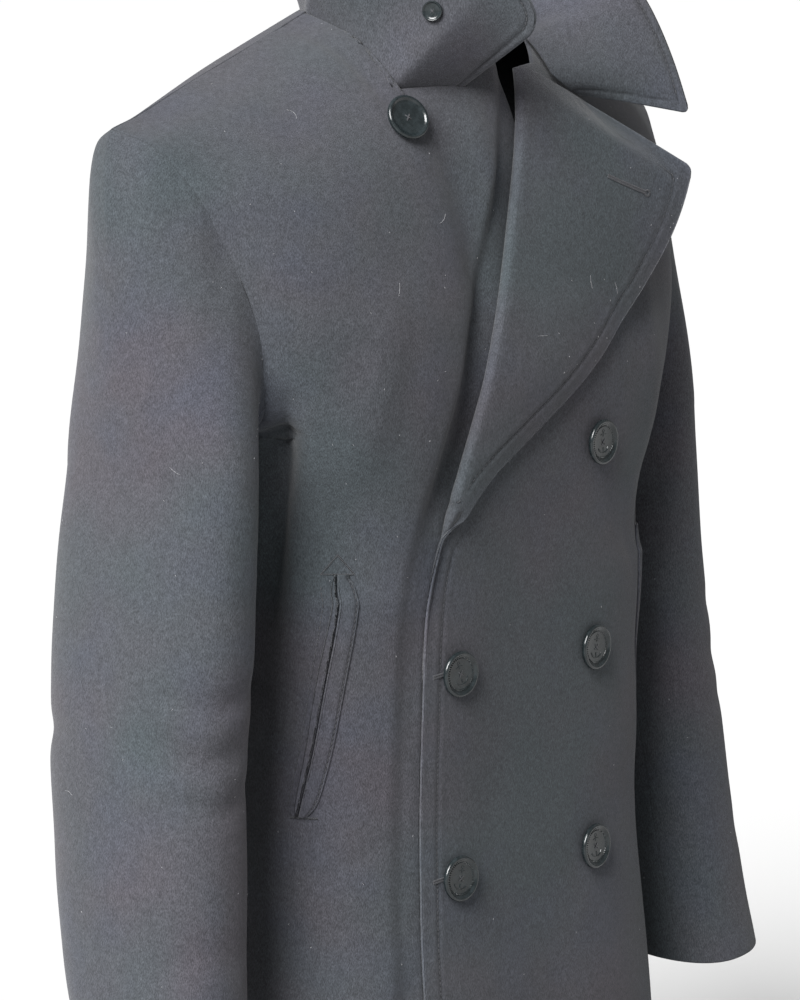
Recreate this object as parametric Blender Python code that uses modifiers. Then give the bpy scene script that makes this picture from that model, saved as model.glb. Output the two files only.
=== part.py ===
"""Double-breasted wool pea coat, filled out and hollow, in metres with +Z up.

The origin is the middle of the neck base, level with the side neck points.
+X is the wearer's left and -Y is the front. Every panel is an open sheet of
points, worked out from the tables of sizes below, and Solidify gives it the
thickness of the cloth.
"""

import math

import bmesh
import bpy
import numpy as np
from mathutils import Vector

# Cloth and seams
CLOTH = 0.0024
HALF_CLOTH = CLOTH / 2
SEAM_TRIM = 0.0003
SHOULDER_TRIM = 0.0014
SIDE_TRIM = 0.0005
CENTRE_TRIM = 0.0004
CENTRE_X = 0.0004
COLUMN_POWER = 1.4
LAYER_GAP = 0.0006
LAYER_STEP = CLOTH + LAYER_GAP
CHEST_Z = -0.150
CENTRE_ROUND = 0.10
HEM_Z = -0.790

# Shape of the body. level is z up to CHEST_Z, and rises to 0 at the shoulder
# seam. side is the side seam and armhole edge, centre is the line x = 0,
# square is the exponent of the section between them, and reach is how far
# round that section runs (1 turns fully sideways).
BODY_COLUMNS = ("level", "side_x", "side_y", "side_z", "centre_y", "centre_z", "square", "reach")
FRONT = (
    (-0.790, 0.184, 0.000, -0.790, -0.117, -0.790, 3.0, 1.00),
    (-0.632, 0.170, 0.000, -0.632, -0.110, -0.632, 3.1, 1.00),
    (-0.540, 0.161, 0.000, -0.540, -0.105, -0.540, 3.1, 1.00),
    (-0.430, 0.160, 0.000, -0.430, -0.104, -0.430, 3.2, 1.00),
    (-0.350, 0.163, 0.000, -0.350, -0.105, -0.350, 3.1, 1.00),
    (-0.290, 0.170, 0.000, -0.290, -0.108, -0.290, 3.0, 1.00),
    (-0.262, 0.174, 0.000, -0.262, -0.109, -0.262, 3.0, 1.00),
    (-0.248, 0.178, 0.000, -0.248, -0.109, -0.248, 3.0, 1.00),
    (-0.243, 0.180, -0.036, -0.243, -0.109, -0.243, 3.0, 0.99),
    (-0.228, 0.183, -0.052, -0.228, -0.108, -0.228, 3.0, 0.97),
    (-0.187, 0.190, -0.055, -0.187, -0.104, -0.187, 3.0, 0.97),
    (-0.150, 0.199, -0.048, -0.150, -0.097, -0.150, 3.0, 0.97),
    (-0.120, 0.206, -0.038, -0.126, -0.090, -0.104, 2.6, 0.97),
    (-0.090, 0.213, -0.030, -0.104, -0.080, -0.058, 2.1, 0.98),
    (-0.060, 0.220, -0.020, -0.088, -0.063, -0.019, 1.7, 0.99),
    (-0.030, 0.229, -0.004, -0.070, -0.030, 0.013, 1.3, 1.00),
    (0.000, 0.236, 0.023, -0.061, 0.011, 0.027, 1.0, 1.00),
)
BACK = (
    (-0.790, 0.184, 0.000, -0.790, 0.128, -0.790, 2.6, 1.00),
    (-0.632, 0.170, 0.000, -0.632, 0.120, -0.632, 2.6, 1.00),
    (-0.540, 0.161, 0.000, -0.540, 0.114, -0.540, 2.6, 1.00),
    (-0.430, 0.160, 0.000, -0.430, 0.110, -0.430, 2.6, 1.00),
    (-0.350, 0.163, 0.000, -0.350, 0.113, -0.350, 2.6, 1.00),
    (-0.290, 0.170, 0.000, -0.290, 0.119, -0.290, 2.7, 1.00),
    (-0.262, 0.174, 0.000, -0.262, 0.122, -0.262, 2.8, 1.00),
    (-0.248, 0.178, 0.000, -0.248, 0.123, -0.248, 2.8, 1.00),
    (-0.243, 0.181, 0.034, -0.243, 0.123, -0.243, 2.8, 0.99),
    (-0.228, 0.186, 0.055, -0.228, 0.124, -0.228, 2.8, 0.97),
    (-0.187, 0.196, 0.064, -0.187, 0.125, -0.187, 2.8, 0.97),
    (-0.150, 0.206, 0.064, -0.150, 0.123, -0.150, 2.8, 0.97),
    (-0.120, 0.213, 0.060, -0.126, 0.118, -0.114, 2.6, 0.97),
    (-0.090, 0.219, 0.055, -0.104, 0.110, -0.074, 2.1, 0.98),
    (-0.060, 0.226, 0.048, -0.088, 0.095, -0.036, 1.7, 0.99),
    (-0.030, 0.233, 0.038, -0.070, 0.066, 0.003, 1.3, 1.00),
    (0.000, 0.236, 0.023, -0.061, 0.011, 0.027, 1.0, 1.00),
)

# Top row of each panel from the armhole, along the shoulder and round the
# neck, as x (positive on the panel's own side) and level.
TOP_COLUMNS = ("share", "x", "level")
BACK_TOP = (
    (0.00, 0.2360, 0.000),
    (0.60, 0.0765, 0.000),
    (0.78, 0.0560, -0.015),
    (1.00, CENTRE_X, -0.031),
)
RIGHT_TOP = (
    (0.00, 0.2360, 0.000),
    (0.42, 0.0765, 0.000),
    (0.50, 0.0775, -0.022),
    (0.57, 0.0785, -0.044),
    (0.64, 0.0755, -0.062),
    (0.82, 0.0250, -0.075),
    (1.00, -0.0120, -0.066),
)
LEFT_TOP = (
    (0.00, 0.2360, 0.000),
    (0.50, 0.0765, 0.000),
    (0.64, 0.0755, -0.022),
    (0.76, 0.0690, -0.042),
    (0.88, 0.0520, -0.060),
    (1.00, 0.0300, -0.067),
)

# Front edges, as x by level. The right front runs on under the left front,
# and the left front ends at its edge or at the lapel's roll line.
EDGE_COLUMNS = ("level", "x")
RIGHT_EDGE = (
    (-0.790, 0.060),
    (-0.300, 0.058),
    (-0.200, 0.042),
    (-0.120, 0.024),
    (-0.066, 0.012),
)
ROLL = (
    (-0.790, -0.0960),
    (-0.602, -0.0945),
    (-0.413, -0.0920),
    (-0.363, -0.0900),
    (-0.309, -0.0790),
    (-0.271, -0.0660),
    (-0.204, -0.0386),
    (-0.144, -0.0120),
    (-0.105, 0.0100),
    (-0.067, 0.0300),
)

# The folded lapel: a level on the roll line, and the lapel's edge opposite it.
LAPEL_COLUMNS = ("level", "edge_x", "edge_y", "edge_z")
LAPEL = (
    (-0.380, -0.0910, -0.1060, -0.380),
    (-0.346, -0.0850, -0.1080, -0.347),
    (-0.330, -0.0800, -0.1085, -0.331),
    (-0.309, -0.0710, -0.1090, -0.312),
    (-0.294, -0.0620, -0.1100, -0.299),
    (-0.271, -0.0420, -0.1105, -0.281),
    (-0.233, -0.0050, -0.1110, -0.258),
    (-0.204, 0.0350, -0.1100, -0.234),
    (-0.174, 0.0660, -0.1080, -0.212),
    (-0.144, 0.0900, -0.1070, -0.191),
    (-0.126, 0.1080, -0.1080, -0.173),
    (-0.105, 0.1240, -0.1120, -0.150),
    (-0.088, 0.1345, -0.1155, -0.128),
    (-0.067, 0.1430, -0.1190, -0.100),
)
ROLL_TOP = -0.067
LAPEL_START = -0.315
NOTCH = (0.083, -0.073, -0.056)
NOTCH_SHARE = 0.52
LAPEL_COLUMN_COUNT = 6
FOLD_RADIUS = 0.0031
FOLD_RUN = 0.004
LAPEL_CLEARANCE = 0.0036

# Where the right front steps in under the left one, and a little more at the
# throat.
UNDER_REACH = 0.024
UNDER_RAMP = 0.012
THROAT_STEP = 0.0015
THROAT_START = -0.200
THROAT_RUN = 0.090

# Collar: the free edge by its share of the way round, from the right tip to
# the left tip. The base follows the panels' neck edges.
COLLAR_COLUMNS = ("share", "x", "y", "z", "bow")
COLLAR = (
    (0.00, -0.016, -0.127, -0.004, 0.000),
    (0.05, -0.021, -0.124, 0.012, 0.000),
    (0.11, -0.032, -0.115, 0.031, 0.001),
    (0.18, -0.050, -0.097, 0.051, 0.003),
    (0.26, -0.076, -0.060, 0.070, 0.008),
    (0.34, -0.090, -0.012, 0.079, 0.006),
    (0.42, -0.084, 0.048, 0.085, 0.004),
    (0.51, 0.000, 0.097, 0.092, 0.003),
    (0.61, 0.084, 0.050, 0.086, 0.004),
    (0.70, 0.101, -0.010, 0.072, 0.006),
    (0.80, 0.117, -0.059, 0.042, 0.006),
    (0.88, 0.128, -0.090, 0.008, 0.004),
    (0.95, 0.139, -0.106, -0.034, 0.002),
    (1.00, 0.142, -0.117, -0.066, 0.001),
)
COLLAR_LIFT = 0.0012
COLLAR_INSET = 0.0020
GORGE_LIFT = 0.0034
TURN_LIFT = 0.0045
TURN_SHARE = 0.90
COLLAR_FRONT_X = -0.025
COLLAR_NECK_X = 0.0775
COLLAR_BACK_X = 0.070
COLLAR_NOTCH_X = 0.082
COLLAR_TURN_X = 0.060
COLLAR_LINES = 34
COLLAR_ROWS = 7

# Sleeves: centre and half axes of each section down the arm.
SLEEVE_COLUMNS = ("z", "right_x", "left_x", "right_y", "left_y", "half_x", "half_y")
SLEEVE = (
    (-0.268, 0.2225, 0.2160, -0.003, 0.016, 0.0325, 0.072),
    (-0.350, 0.2280, 0.2260, 0.000, 0.022, 0.0375, 0.074),
    (-0.430, 0.2325, 0.2305, 0.000, 0.014, 0.0400, 0.072),
    (-0.500, 0.2365, 0.2350, -0.004, 0.003, 0.0405, 0.069),
    (-0.570, 0.2405, 0.2395, -0.011, -0.010, 0.0400, 0.065),
    (-0.630, 0.2440, 0.2435, -0.022, -0.028, 0.0390, 0.059),
)
SLEEVE_SQUARE = 2.3
CUFF_START = -0.50
CUFF_RUN = 0.13
HOLE_GAP = 0.0004
UNDERARM_GAP = 0.0018
HEAD_SEAM_TRIM = 0.0034
CUFF_TILT = 0.006
HEAD_START = 0.40
HEAD_FINISH = 0.80
SLEEVE_RINGS = 12
HEAD_RINGS = 7
RING_COUNT = 28
UNDER_START = 11
UNDER_END = 19

# Hand-warmer pockets: the opening runs down and back along the front.
POCKET_COLUMNS = ("z", "x", "front_width", "lip_width")
POCKET = (
    (-0.333, 0.1420, 0.0125, 0.0035),
    (-0.400, 0.1470, 0.0125, 0.0060),
    (-0.485, 0.1545, 0.0115, 0.0040),
)
WELT_THICK = 0.0016
WELT_GAP = 0.0004
POCKET_TOP = -0.262
POCKET_ROWS = 9
POCKET_ROUND = 6

# Folds of the right front below the chest button, as x and z along each.
TROUGH = (
    (-0.058, -0.072),
    (-0.048, -0.096),
    (-0.043, -0.122),
    (-0.026, -0.170),
    (-0.036, -0.205),
    (-0.060, -0.262),
)
TROUGH_DEPTH = 0.0055
TROUGH_WIDTH = 0.011
RIDGE = ((-0.028, -0.070), (-0.020, -0.105), (-0.018, -0.140))
RIDGE_HEIGHT = 0.0040
RIDGE_WIDTH = 0.013

# Fold where each front turns under beside the sleeve, as y and z along it.
SIDE_FOLD = ((-0.050, -0.245), (-0.043, -0.280), (-0.038, -0.312))
SIDE_FOLD_DEPTH = 0.009
SIDE_FOLD_WIDTH = 0.011

# Buttons: wearer-side columns of the front, the chest button and the small
# collar button.
BUTTON_RADIUS = 0.0145
BUTTON_THICK = 0.0042
BUTTON_X = 0.065
BUTTON_ROWS = (-0.269, -0.401, -0.530)
CHEST_BUTTON = (-0.078, -0.062)
SMALL_BUTTON_RADIUS = 0.0063
SMALL_BUTTON_THICK = 0.0026
BUTTON_LIFT = 0.0005
HOLE_RADIUS = 0.0010
HOLE_SPREAD = 0.0026
SMALL_HOLE_RADIUS = 0.0006
SMALL_HOLE_SPREAD = 0.0015

CLOTH_COLOUR = (0.030, 0.032, 0.038, 1.0)
CLOTH_ROUGHNESS = 0.95
BUTTON_COLOUR = (0.010, 0.011, 0.012, 1.0)
BUTTON_ROUGHNESS = 0.25
WELD = 0.00001


def column(table, names, name):
    """One named column of a table as an array."""
    return np.array([row[names.index(name)] for row in table])


def smooth_between(x, xs, ys):
    """Smooth curve through (xs, ys) that never overshoots: each slope is its neighbours' harmonic mean."""
    steps = np.diff(xs)
    slopes = np.diff(ys) / steps
    product = slopes[:-1] * slopes[1:]
    inner = np.where(product > 0, 2 * product / (slopes[:-1] + slopes[1:] + 1e-30), 0)
    tangents = np.concatenate([slopes[:1], inner, slopes[-1:]])
    x = np.clip(x, xs[0], xs[-1])
    k = np.clip(np.searchsorted(xs, x, side="right") - 1, 0, len(steps) - 1)
    t = (x - xs[k]) / steps[k]
    h = steps[k]
    first = ys[k] * (1 + 2 * t) * (1 - t) ** 2 + ys[k + 1] * t * t * (3 - 2 * t)
    second = tangents[k] * h * t * (1 - t) ** 2 - tangents[k + 1] * h * t * t * (1 - t)
    return first + second


def read(table, names, name, at):
    """A named column read at given values of the table's first column."""
    return smooth_between(np.asarray(at, float), column(table, names, names[0]), column(table, names, name))


def ease(t):
    """0 to 1 with flat ends."""
    t = np.clip(t, 0, 1)
    return t * t * (3 - 2 * t)


def body_points(table, x, level):
    """Points of the front or back at signed x and level, on the outer face."""
    side_x, side_y, side_z, centre_y, centre_z, square, reach = (
        read(table, BODY_COLUMNS, name, level) for name in BODY_COLUMNS[1:]
    )
    share = np.clip(np.abs(x) / side_x, 0, 1)
    share = (np.hypot(share, CENTRE_ROUND) - CENTRE_ROUND) / (math.hypot(1, CENTRE_ROUND) - CENTRE_ROUND)
    end = np.maximum(1 - reach ** square, 0) ** (1 / square)
    here = np.maximum(1 - (reach * share) ** square, 0) ** (1 / square)
    depth = (here - end) / (1 - end)
    y = side_y + (centre_y - side_y) * depth
    z = centre_z + (side_z - centre_z) * share
    return np.stack([x, y, z], axis=-1)


def grid_normals(grid):
    """Unit normals of a grid of points, turned to the same side throughout."""
    along = np.gradient(grid, axis=0)
    across = np.gradient(grid, axis=1)
    normal = np.cross(across, along)
    return normal / (np.linalg.norm(normal, axis=-1, keepdims=True) + 1e-12)


def outward(grid):
    """Grid normals that point away from the middle of the body."""
    normal = grid_normals(grid)
    away = grid * np.array([1.0, 1.0, 0.0])
    if (normal * away).sum() < 0:
        normal = -normal
    return normal


def trim(grid, first_row=0.0, last_row=0.0, first_column=0.0, last_column=0.0):
    """Draw the edges of a grid in by a given distance each."""
    out = grid.copy()

    def draw(edge, inner, amount):
        step = inner - edge
        return edge + step * np.reshape(amount, (-1, 1)) / (np.linalg.norm(step, axis=-1, keepdims=True) + 1e-12)

    out[0] = draw(out[0], out[1], first_row)
    out[-1] = draw(out[-1], out[-2], last_row)
    out[:, 0] = draw(out[:, 0], out[:, 1], first_column)
    out[:, -1] = draw(out[:, -1], out[:, -2], last_column)
    return out


CHEST_LEVELS = (
    -0.490, -0.440, -0.400, -0.365, -0.335, -0.310, -0.285, -0.262,
    -0.248, -0.243, -0.228, -0.207, -0.187, -0.168, -0.150,
)
ROW_LEVELS = np.concatenate([np.linspace(HEM_Z, -0.540, 5), CHEST_LEVELS, np.linspace(-0.130, 0.0, 7)])
BLEND_START = -0.235
BLEND_POWER = 1.6


def panel(table, side, top, edge, columns):
    """A body panel: rows run from the side to the front or centre edge.

    Each row is a straight blend, in share of the half width and in level,
    from its side point to its edge point. Above BLEND_START the rows bend
    until the last one follows the table of the top edge.
    """
    side_level = ROW_LEVELS
    top_edge_level = top[-1][2]
    above = np.clip((side_level - BLEND_START) / -BLEND_START, 0, 1)
    edge_level = np.where(side_level < BLEND_START, side_level, BLEND_START + above * (top_edge_level - BLEND_START))
    edge_x = read(edge, EDGE_COLUMNS, "x", edge_level) * side
    edge_share = edge_x / read(table, BODY_COLUMNS, "side_x", edge_level)
    c = columns[None, :]
    share = 1 + (edge_share[:, None] - 1) * c
    level = side_level[:, None] + (edge_level - side_level)[:, None] * c
    top_level = np.interp(columns, column(top, TOP_COLUMNS, "share"), column(top, TOP_COLUMNS, "level"))
    top_x = np.interp(columns, column(top, TOP_COLUMNS, "share"), column(top, TOP_COLUMNS, "x"))
    top_share = top_x / read(table, BODY_COLUMNS, "side_x", top_level)
    weight = (above ** BLEND_POWER)[:, None]
    share = share + (top_share - share[-1])[None, :] * weight
    level = level + (top_level - level[-1])[None, :] * weight
    x = share * read(table, BODY_COLUMNS, "side_x", level) * side
    return body_points(table, x, level), level


def add_wall(name, mesh, thickness):
    """An object of the mesh with the thickness of its cloth, half to each side."""
    mesh.shade_smooth()
    piece = bpy.data.objects.new(name, mesh)
    COAT.objects.link(piece)
    wall = piece.modifiers.new("cloth thickness", "SOLIDIFY")
    wall.thickness = thickness
    wall.offset = 0
    mesh.materials.append(material(name, CLOTH_COLOUR, CLOTH_ROUGHNESS))


def new_sheet(name, grid, thickness=CLOTH):
    """A named sheet of cloth: the grid is the middle of its wall."""
    rows, count = grid.shape[:2]
    index = np.arange(rows * count).reshape(rows, count)
    a = index[:-1, :-1].ravel()
    b = index[:-1, 1:].ravel()
    c = index[1:, 1:].ravel()
    d = index[1:, :-1].ravel()
    faces = np.stack([a, d, c, b], axis=1)
    mesh = bpy.data.meshes.new(name)
    mesh.from_pydata(grid.reshape(-1, 3).tolist(), [], faces.tolist())
    add_wall(name, mesh, thickness)


def material(name, colour, roughness):
    """A plain Principled material of the piece's own."""
    finish = bpy.data.materials.new(name)
    finish.use_nodes = True
    shader = finish.node_tree.nodes["Principled BSDF"]
    shader.inputs["Base Color"].default_value = colour
    shader.inputs["Roughness"].default_value = roughness
    shader.inputs["Metallic"].default_value = 0.0
    return finish


def line_distance(points, line, axes=(0, 2)):
    """Distance from each point to a broken line, seen along the third axis."""
    flat = points[..., axes]
    best = np.full(flat.shape[:-1], 1e9)
    for start, end in zip(line[:-1], line[1:]):
        start = np.array(start)
        step = np.array(end) - start
        t = np.clip(((flat - start) @ step) / (step @ step), 0, 1)
        best = np.minimum(best, np.linalg.norm(flat - start - t[..., None] * step, axis=-1))
    return best


def back_panel(name, side):
    """Half of the back, with the seam at x = 0."""
    columns = np.linspace(0, 1, 12) ** COLUMN_POWER
    edge = ((HEM_Z, CENTRE_X), (0.0, CENTRE_X))
    grid, _ = panel(BACK, side, BACK_TOP, edge, columns)
    grid = grid - outward(grid) * HALF_CLOTH
    grid = trim(grid, last_row=SHOULDER_TRIM, first_column=SIDE_TRIM, last_column=CENTRE_TRIM)
    new_sheet(name, grid)
    return grid


def side_fold(grid):
    """How far a front is drawn in along the fold beside the sleeve."""
    near = np.exp(-((line_distance(grid, SIDE_FOLD, (1, 2)) / SIDE_FOLD_WIDTH) ** 2))
    return SIDE_FOLD_DEPTH * near * (np.abs(grid[..., 0]) > 0.11)


def right_front():
    """Right front: flat to the neck, with its folds, and under the left front."""
    columns = np.linspace(0, 1, 18) ** COLUMN_POWER
    grid, level = panel(FRONT, -1, RIGHT_TOP, RIGHT_EDGE, columns)
    roll = read(ROLL, EDGE_COLUMNS, "x", np.clip(level, HEM_Z, ROLL_TOP))
    under = ease((grid[..., 0] - roll + UNDER_REACH) / UNDER_RAMP)
    deeper = THROAT_STEP * ease((level - THROAT_START) / THROAT_RUN)
    inset = under * (LAYER_STEP + deeper)
    inset = inset + TROUGH_DEPTH * np.exp(-((line_distance(grid, TROUGH) / TROUGH_WIDTH) ** 2))
    inset = inset - RIDGE_HEIGHT * np.exp(-((line_distance(grid, RIDGE) / RIDGE_WIDTH) ** 2)) * (1 - under)
    inset = inset + side_fold(grid)
    grid = grid - outward(grid) * (HALF_CLOTH + inset)[..., None]
    grid = trim(grid, last_row=SHOULDER_TRIM, first_column=SIDE_TRIM)
    new_sheet("front_right", grid)
    return grid


def left_front():
    """Left front: its panel, the fold at the roll line, and the lapel laid back on it."""
    columns = np.linspace(0, 1, 18) ** COLUMN_POWER
    outer, level = panel(FRONT, 1, LEFT_TOP, ROLL, columns)
    body = outer - outward(outer) * (HALF_CLOTH + side_fold(outer))[..., None]
    body = trim(body, last_row=SHOULDER_TRIM, first_column=SIDE_TRIM)
    edge_level = level[:, -1]
    rows = edge_level > LAPEL_START
    body[rows, -1, 0] = body[rows, -1, 0] + FOLD_RADIUS
    edge = body[:, -1]
    tip = np.stack([read(LAPEL, LAPEL_COLUMNS, n, edge_level) for n in LAPEL_COLUMNS[1:]], axis=-1)
    share = np.linspace(0, 1, LAPEL_COLUMN_COUNT + 1)[1:]
    start = edge + np.array([FOLD_RUN, -2 * FOLD_RADIUS, 0.0])
    lapel = start[:, None, :] + (tip - start)[:, None, :] * share[None, :, None]
    lapel[-1] = np.stack([
        np.interp(share, [0, NOTCH_SHARE, 1], [start[-1][axis], NOTCH[axis], tip[-1][axis]])
        for axis in range(3)
    ], axis=-1)
    surface_level = np.where(lapel[..., 2] < CHEST_Z, lapel[..., 2], level_at(lapel[..., 2], lapel[..., 0]))
    surface = body_points(FRONT, lapel[..., 0], surface_level)[..., 1]
    lapel[..., 1] = np.minimum(lapel[..., 1], surface - LAPEL_CLEARANCE)
    turn = []
    for angle in (45, 90, 135):
        a = math.radians(angle)
        shift = np.array([-FOLD_RADIUS * math.sin(a), -FOLD_RADIUS * (1 - math.cos(a)), 0.0])
        turn.append(edge + shift)
    turn = np.stack(turn, axis=1)
    return body, turn, lapel, rows


def level_at(z, x):
    """The level whose row passes height z at x, above the chest line."""
    levels = np.linspace(CHEST_Z, 0, 60)[:, None]
    centre = read(FRONT, BODY_COLUMNS, "centre_z", levels)
    side_z = read(FRONT, BODY_COLUMNS, "side_z", levels)
    side_x = read(FRONT, BODY_COLUMNS, "side_x", levels)
    share = np.clip(np.abs(x).ravel() / side_x, 0, 1)
    heights = centre + (side_z - centre) * share
    found = np.argmin(np.abs(heights - z.ravel()), axis=0)
    levels = levels[:, 0]
    return levels[found].reshape(np.shape(z))


def join_blocks(name, blocks):
    """One sheet from grids that share edge points, welded along them."""
    points = []
    faces = []
    for grid in blocks:
        rows, count = grid.shape[:2]
        index = np.arange(rows * count).reshape(rows, count) + sum(len(p) for p in points)
        quads = np.stack([index[:-1, :-1], index[1:, :-1], index[1:, 1:], index[:-1, 1:]], axis=-1)
        faces.extend(quads.reshape(-1, 4).tolist())
        points.append(grid.reshape(-1, 3))
    mesh = bpy.data.meshes.new(name)
    mesh.from_pydata(np.concatenate(points).tolist(), [], faces)
    build = bmesh.new()
    build.from_mesh(mesh)
    bmesh.ops.remove_doubles(build, verts=build.verts, dist=WELD)
    build.to_mesh(mesh)
    build.free()
    add_wall(name, mesh, CLOTH)


def resample(line, shares):
    """Points at given shares of a broken line's length."""
    steps = np.linalg.norm(np.diff(line, axis=0), axis=1)
    length = np.concatenate([[0], np.cumsum(steps)])
    length = length / length[-1]
    return np.stack([np.interp(shares, length, line[:, axis]) for axis in range(3)], axis=-1)


def inward_at(line):
    """Directions toward the middle of the neck, level and one long."""
    toward = np.array([0.0, 0.015, 0.0]) - line
    toward[:, 2] = 0
    return toward / np.linalg.norm(toward, axis=1, keepdims=True)


def collar(right_top, left_top, lapel_top, back_right_top, back_left_top):
    """The popped collar: straight lines from the neck edge to the free edge, bowed outward."""
    right = right_top[::-1]
    right = right[(right[:, 0] < COLLAR_FRONT_X) & (right[:, 0] > -COLLAR_NECK_X)]
    back_half = back_right_top[np.abs(back_right_top[:, 0]) < COLLAR_BACK_X]
    other_half = back_left_top[np.abs(back_left_top[:, 0]) < COLLAR_BACK_X][::-1]
    left = left_top[(left_top[:, 0] < COLLAR_NECK_X) & (left_top[:, 0] > COLLAR_TURN_X)]
    gorge = lapel_top[(lapel_top[:, 0] > COLLAR_TURN_X) & (lapel_top[:, 0] < COLLAR_NOTCH_X)]
    line = np.concatenate([right, back_half, other_half, left, gorge])
    shares = np.linspace(0, 1, COLLAR_LINES)
    base = resample(line, shares)
    base = base + inward_at(base) * COLLAR_INSET
    lift = COLLAR_LIFT + GORGE_LIFT * ease((shares - 0.60) / 0.04)
    lift = lift + TURN_LIFT * np.exp(-(((shares - TURN_SHARE) / 0.04) ** 2))
    base[:, 2] = base[:, 2] + lift
    edge = np.stack([read(COLLAR, COLLAR_COLUMNS, n, shares) for n in ("x", "y", "z")], axis=-1)
    bow = read(COLLAR, COLLAR_COLUMNS, "bow", shares)
    v = np.linspace(0, 1, COLLAR_ROWS)
    grid = base[None] + (edge - base)[None] * v[:, None, None]
    out = base * np.array([1.0, 1.0, 0.0]) - np.array([0.0, 0.02, 0.0])
    out = out / np.linalg.norm(out, axis=1, keepdims=True)
    grid = grid + out[None] * (bow[None] * np.sin(np.pi * v)[:, None])[..., None]
    new_sheet("collar", grid)
    return grid


def armhole_ring(side):
    """The armhole as a closed line: top, front, underarm, back and top again."""
    levels = np.concatenate([np.linspace(0, CHEST_Z, 11), CHEST_LEVELS[-2:-8:-1]])
    names = ("side_x", "side_y", "side_z")
    front = np.stack([read(FRONT, BODY_COLUMNS, n, levels) for n in names], axis=-1)
    back = np.stack([read(BACK, BODY_COLUMNS, n, levels) for n in names], axis=-1)
    ring = np.concatenate([front, back[::-1][1:]])
    ring[:, 0] = ring[:, 0] * side
    return ring


def sleeve_table(name, z):
    """A column of the sleeve table at height z (the table runs downward)."""
    zs = column(SLEEVE, SLEEVE_COLUMNS, "z")[::-1]
    values = column(SLEEVE, SLEEVE_COLUMNS, name)[::-1]
    return smooth_between(np.asarray(z, float), zs, values)


def sleeve_section(side, z):
    """A sleeve section at height z: a superellipse tipped at the cuff."""
    turn = np.linspace(0, 2 * np.pi, 97)
    half_x = sleeve_table("half_x", z) - HALF_CLOTH
    half_y = sleeve_table("half_y", z) - HALF_CLOTH
    word = "left_" if side > 0 else "right_"
    centre_x = sleeve_table(word + "x", z)
    centre_y = sleeve_table(word + "y", z)
    power = 2 / SLEEVE_SQUARE
    out = np.sign(np.cos(turn)) * np.abs(np.cos(turn)) ** power
    fore = np.sign(np.sin(turn)) * np.abs(np.sin(turn)) ** power
    tilt = CUFF_TILT * ease((CUFF_START - z) / CUFF_RUN)
    return np.stack([
        side * (centre_x + half_x * out),
        centre_y - half_y * fore,
        z + tilt * (out - fore),
    ], axis=-1)


def sleeve_grid(side):
    """Rings from the armhole to the cuff, the first ones curved over the sleeve head."""
    shares = np.linspace(0, 1, RING_COUNT + 1)
    hole = resample(armhole_ring(side), shares)
    top_z = SLEEVE[0][0]
    first = resample(sleeve_section(side, top_z), shares)
    top = (1 + np.cos(2 * np.pi * shares)) / 2
    under = 1 - top
    hole[:, 0] = hole[:, 0] + side * (HOLE_GAP + UNDERARM_GAP * under ** 6)
    reach = np.linalg.norm(first - hole, axis=1)
    start = np.stack([side * (0.55 * top + 0.25 * under), 0.0 * top, -0.84 * top - 0.95 * under], axis=-1)
    start = start * (reach * (HEAD_START * top + 0.30 * under))[:, None]
    finish = np.array([0.0, 0.0, -1.0])[None] * (reach * HEAD_FINISH)[:, None]
    rings = []
    for v in np.linspace(0, 1, HEAD_RINGS):
        ring = hole * (1 + 2 * v) * (1 - v) ** 2 + first * v * v * (3 - 2 * v)
        ring = ring + start * v * (1 - v) ** 2 - finish * v * v * (1 - v)
        rings.append(ring)
    for z in np.linspace(top_z, SLEEVE[-1][0], SLEEVE_RINGS)[1:]:
        rings.append(resample(sleeve_section(side, z), shares))
    return np.stack(rings)


def sleeve(side, word):
    """Two pieces: the top sleeve, and the under sleeve between its two seams."""
    rings = sleeve_grid(side)
    closed = rings[:, :-1]
    order = [i % RING_COUNT for i in range(UNDER_END, UNDER_START + RING_COUNT + 1)]
    seam = SEAM_TRIM + HEAD_SEAM_TRIM * ease(1.2 - np.arange(len(closed)) / HEAD_RINGS)
    upper = trim(closed[:, order], first_row=SEAM_TRIM, first_column=seam, last_column=seam)
    lower = trim(closed[:, UNDER_START:UNDER_END + 1], first_row=SEAM_TRIM, first_column=seam, last_column=seam)
    new_sheet("sleeve_top_" + word, upper)
    new_sheet("sleeve_under_" + word, lower)


def section_walk(grid, z, x_start, distance):
    """Points some distance round the panel from x_start, at heights z, on its faceted outer face."""
    out = []
    heights = grid[:, 0, 2]
    for height, start, walk in zip(z, x_start, distance):
        line = np.array([
            [np.interp(height, heights, grid[:, j, axis]) for axis in range(3)]
            for j in range(grid.shape[1])
        ])
        length = np.concatenate([[0], np.cumsum(np.linalg.norm(np.diff(line, axis=0), axis=1))])
        at = np.interp(-start, -np.abs(line[:, 0]), length) + walk
        out.append([np.interp(at, length, line[:, axis]) for axis in range(3)])
    return np.array(out)


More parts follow.
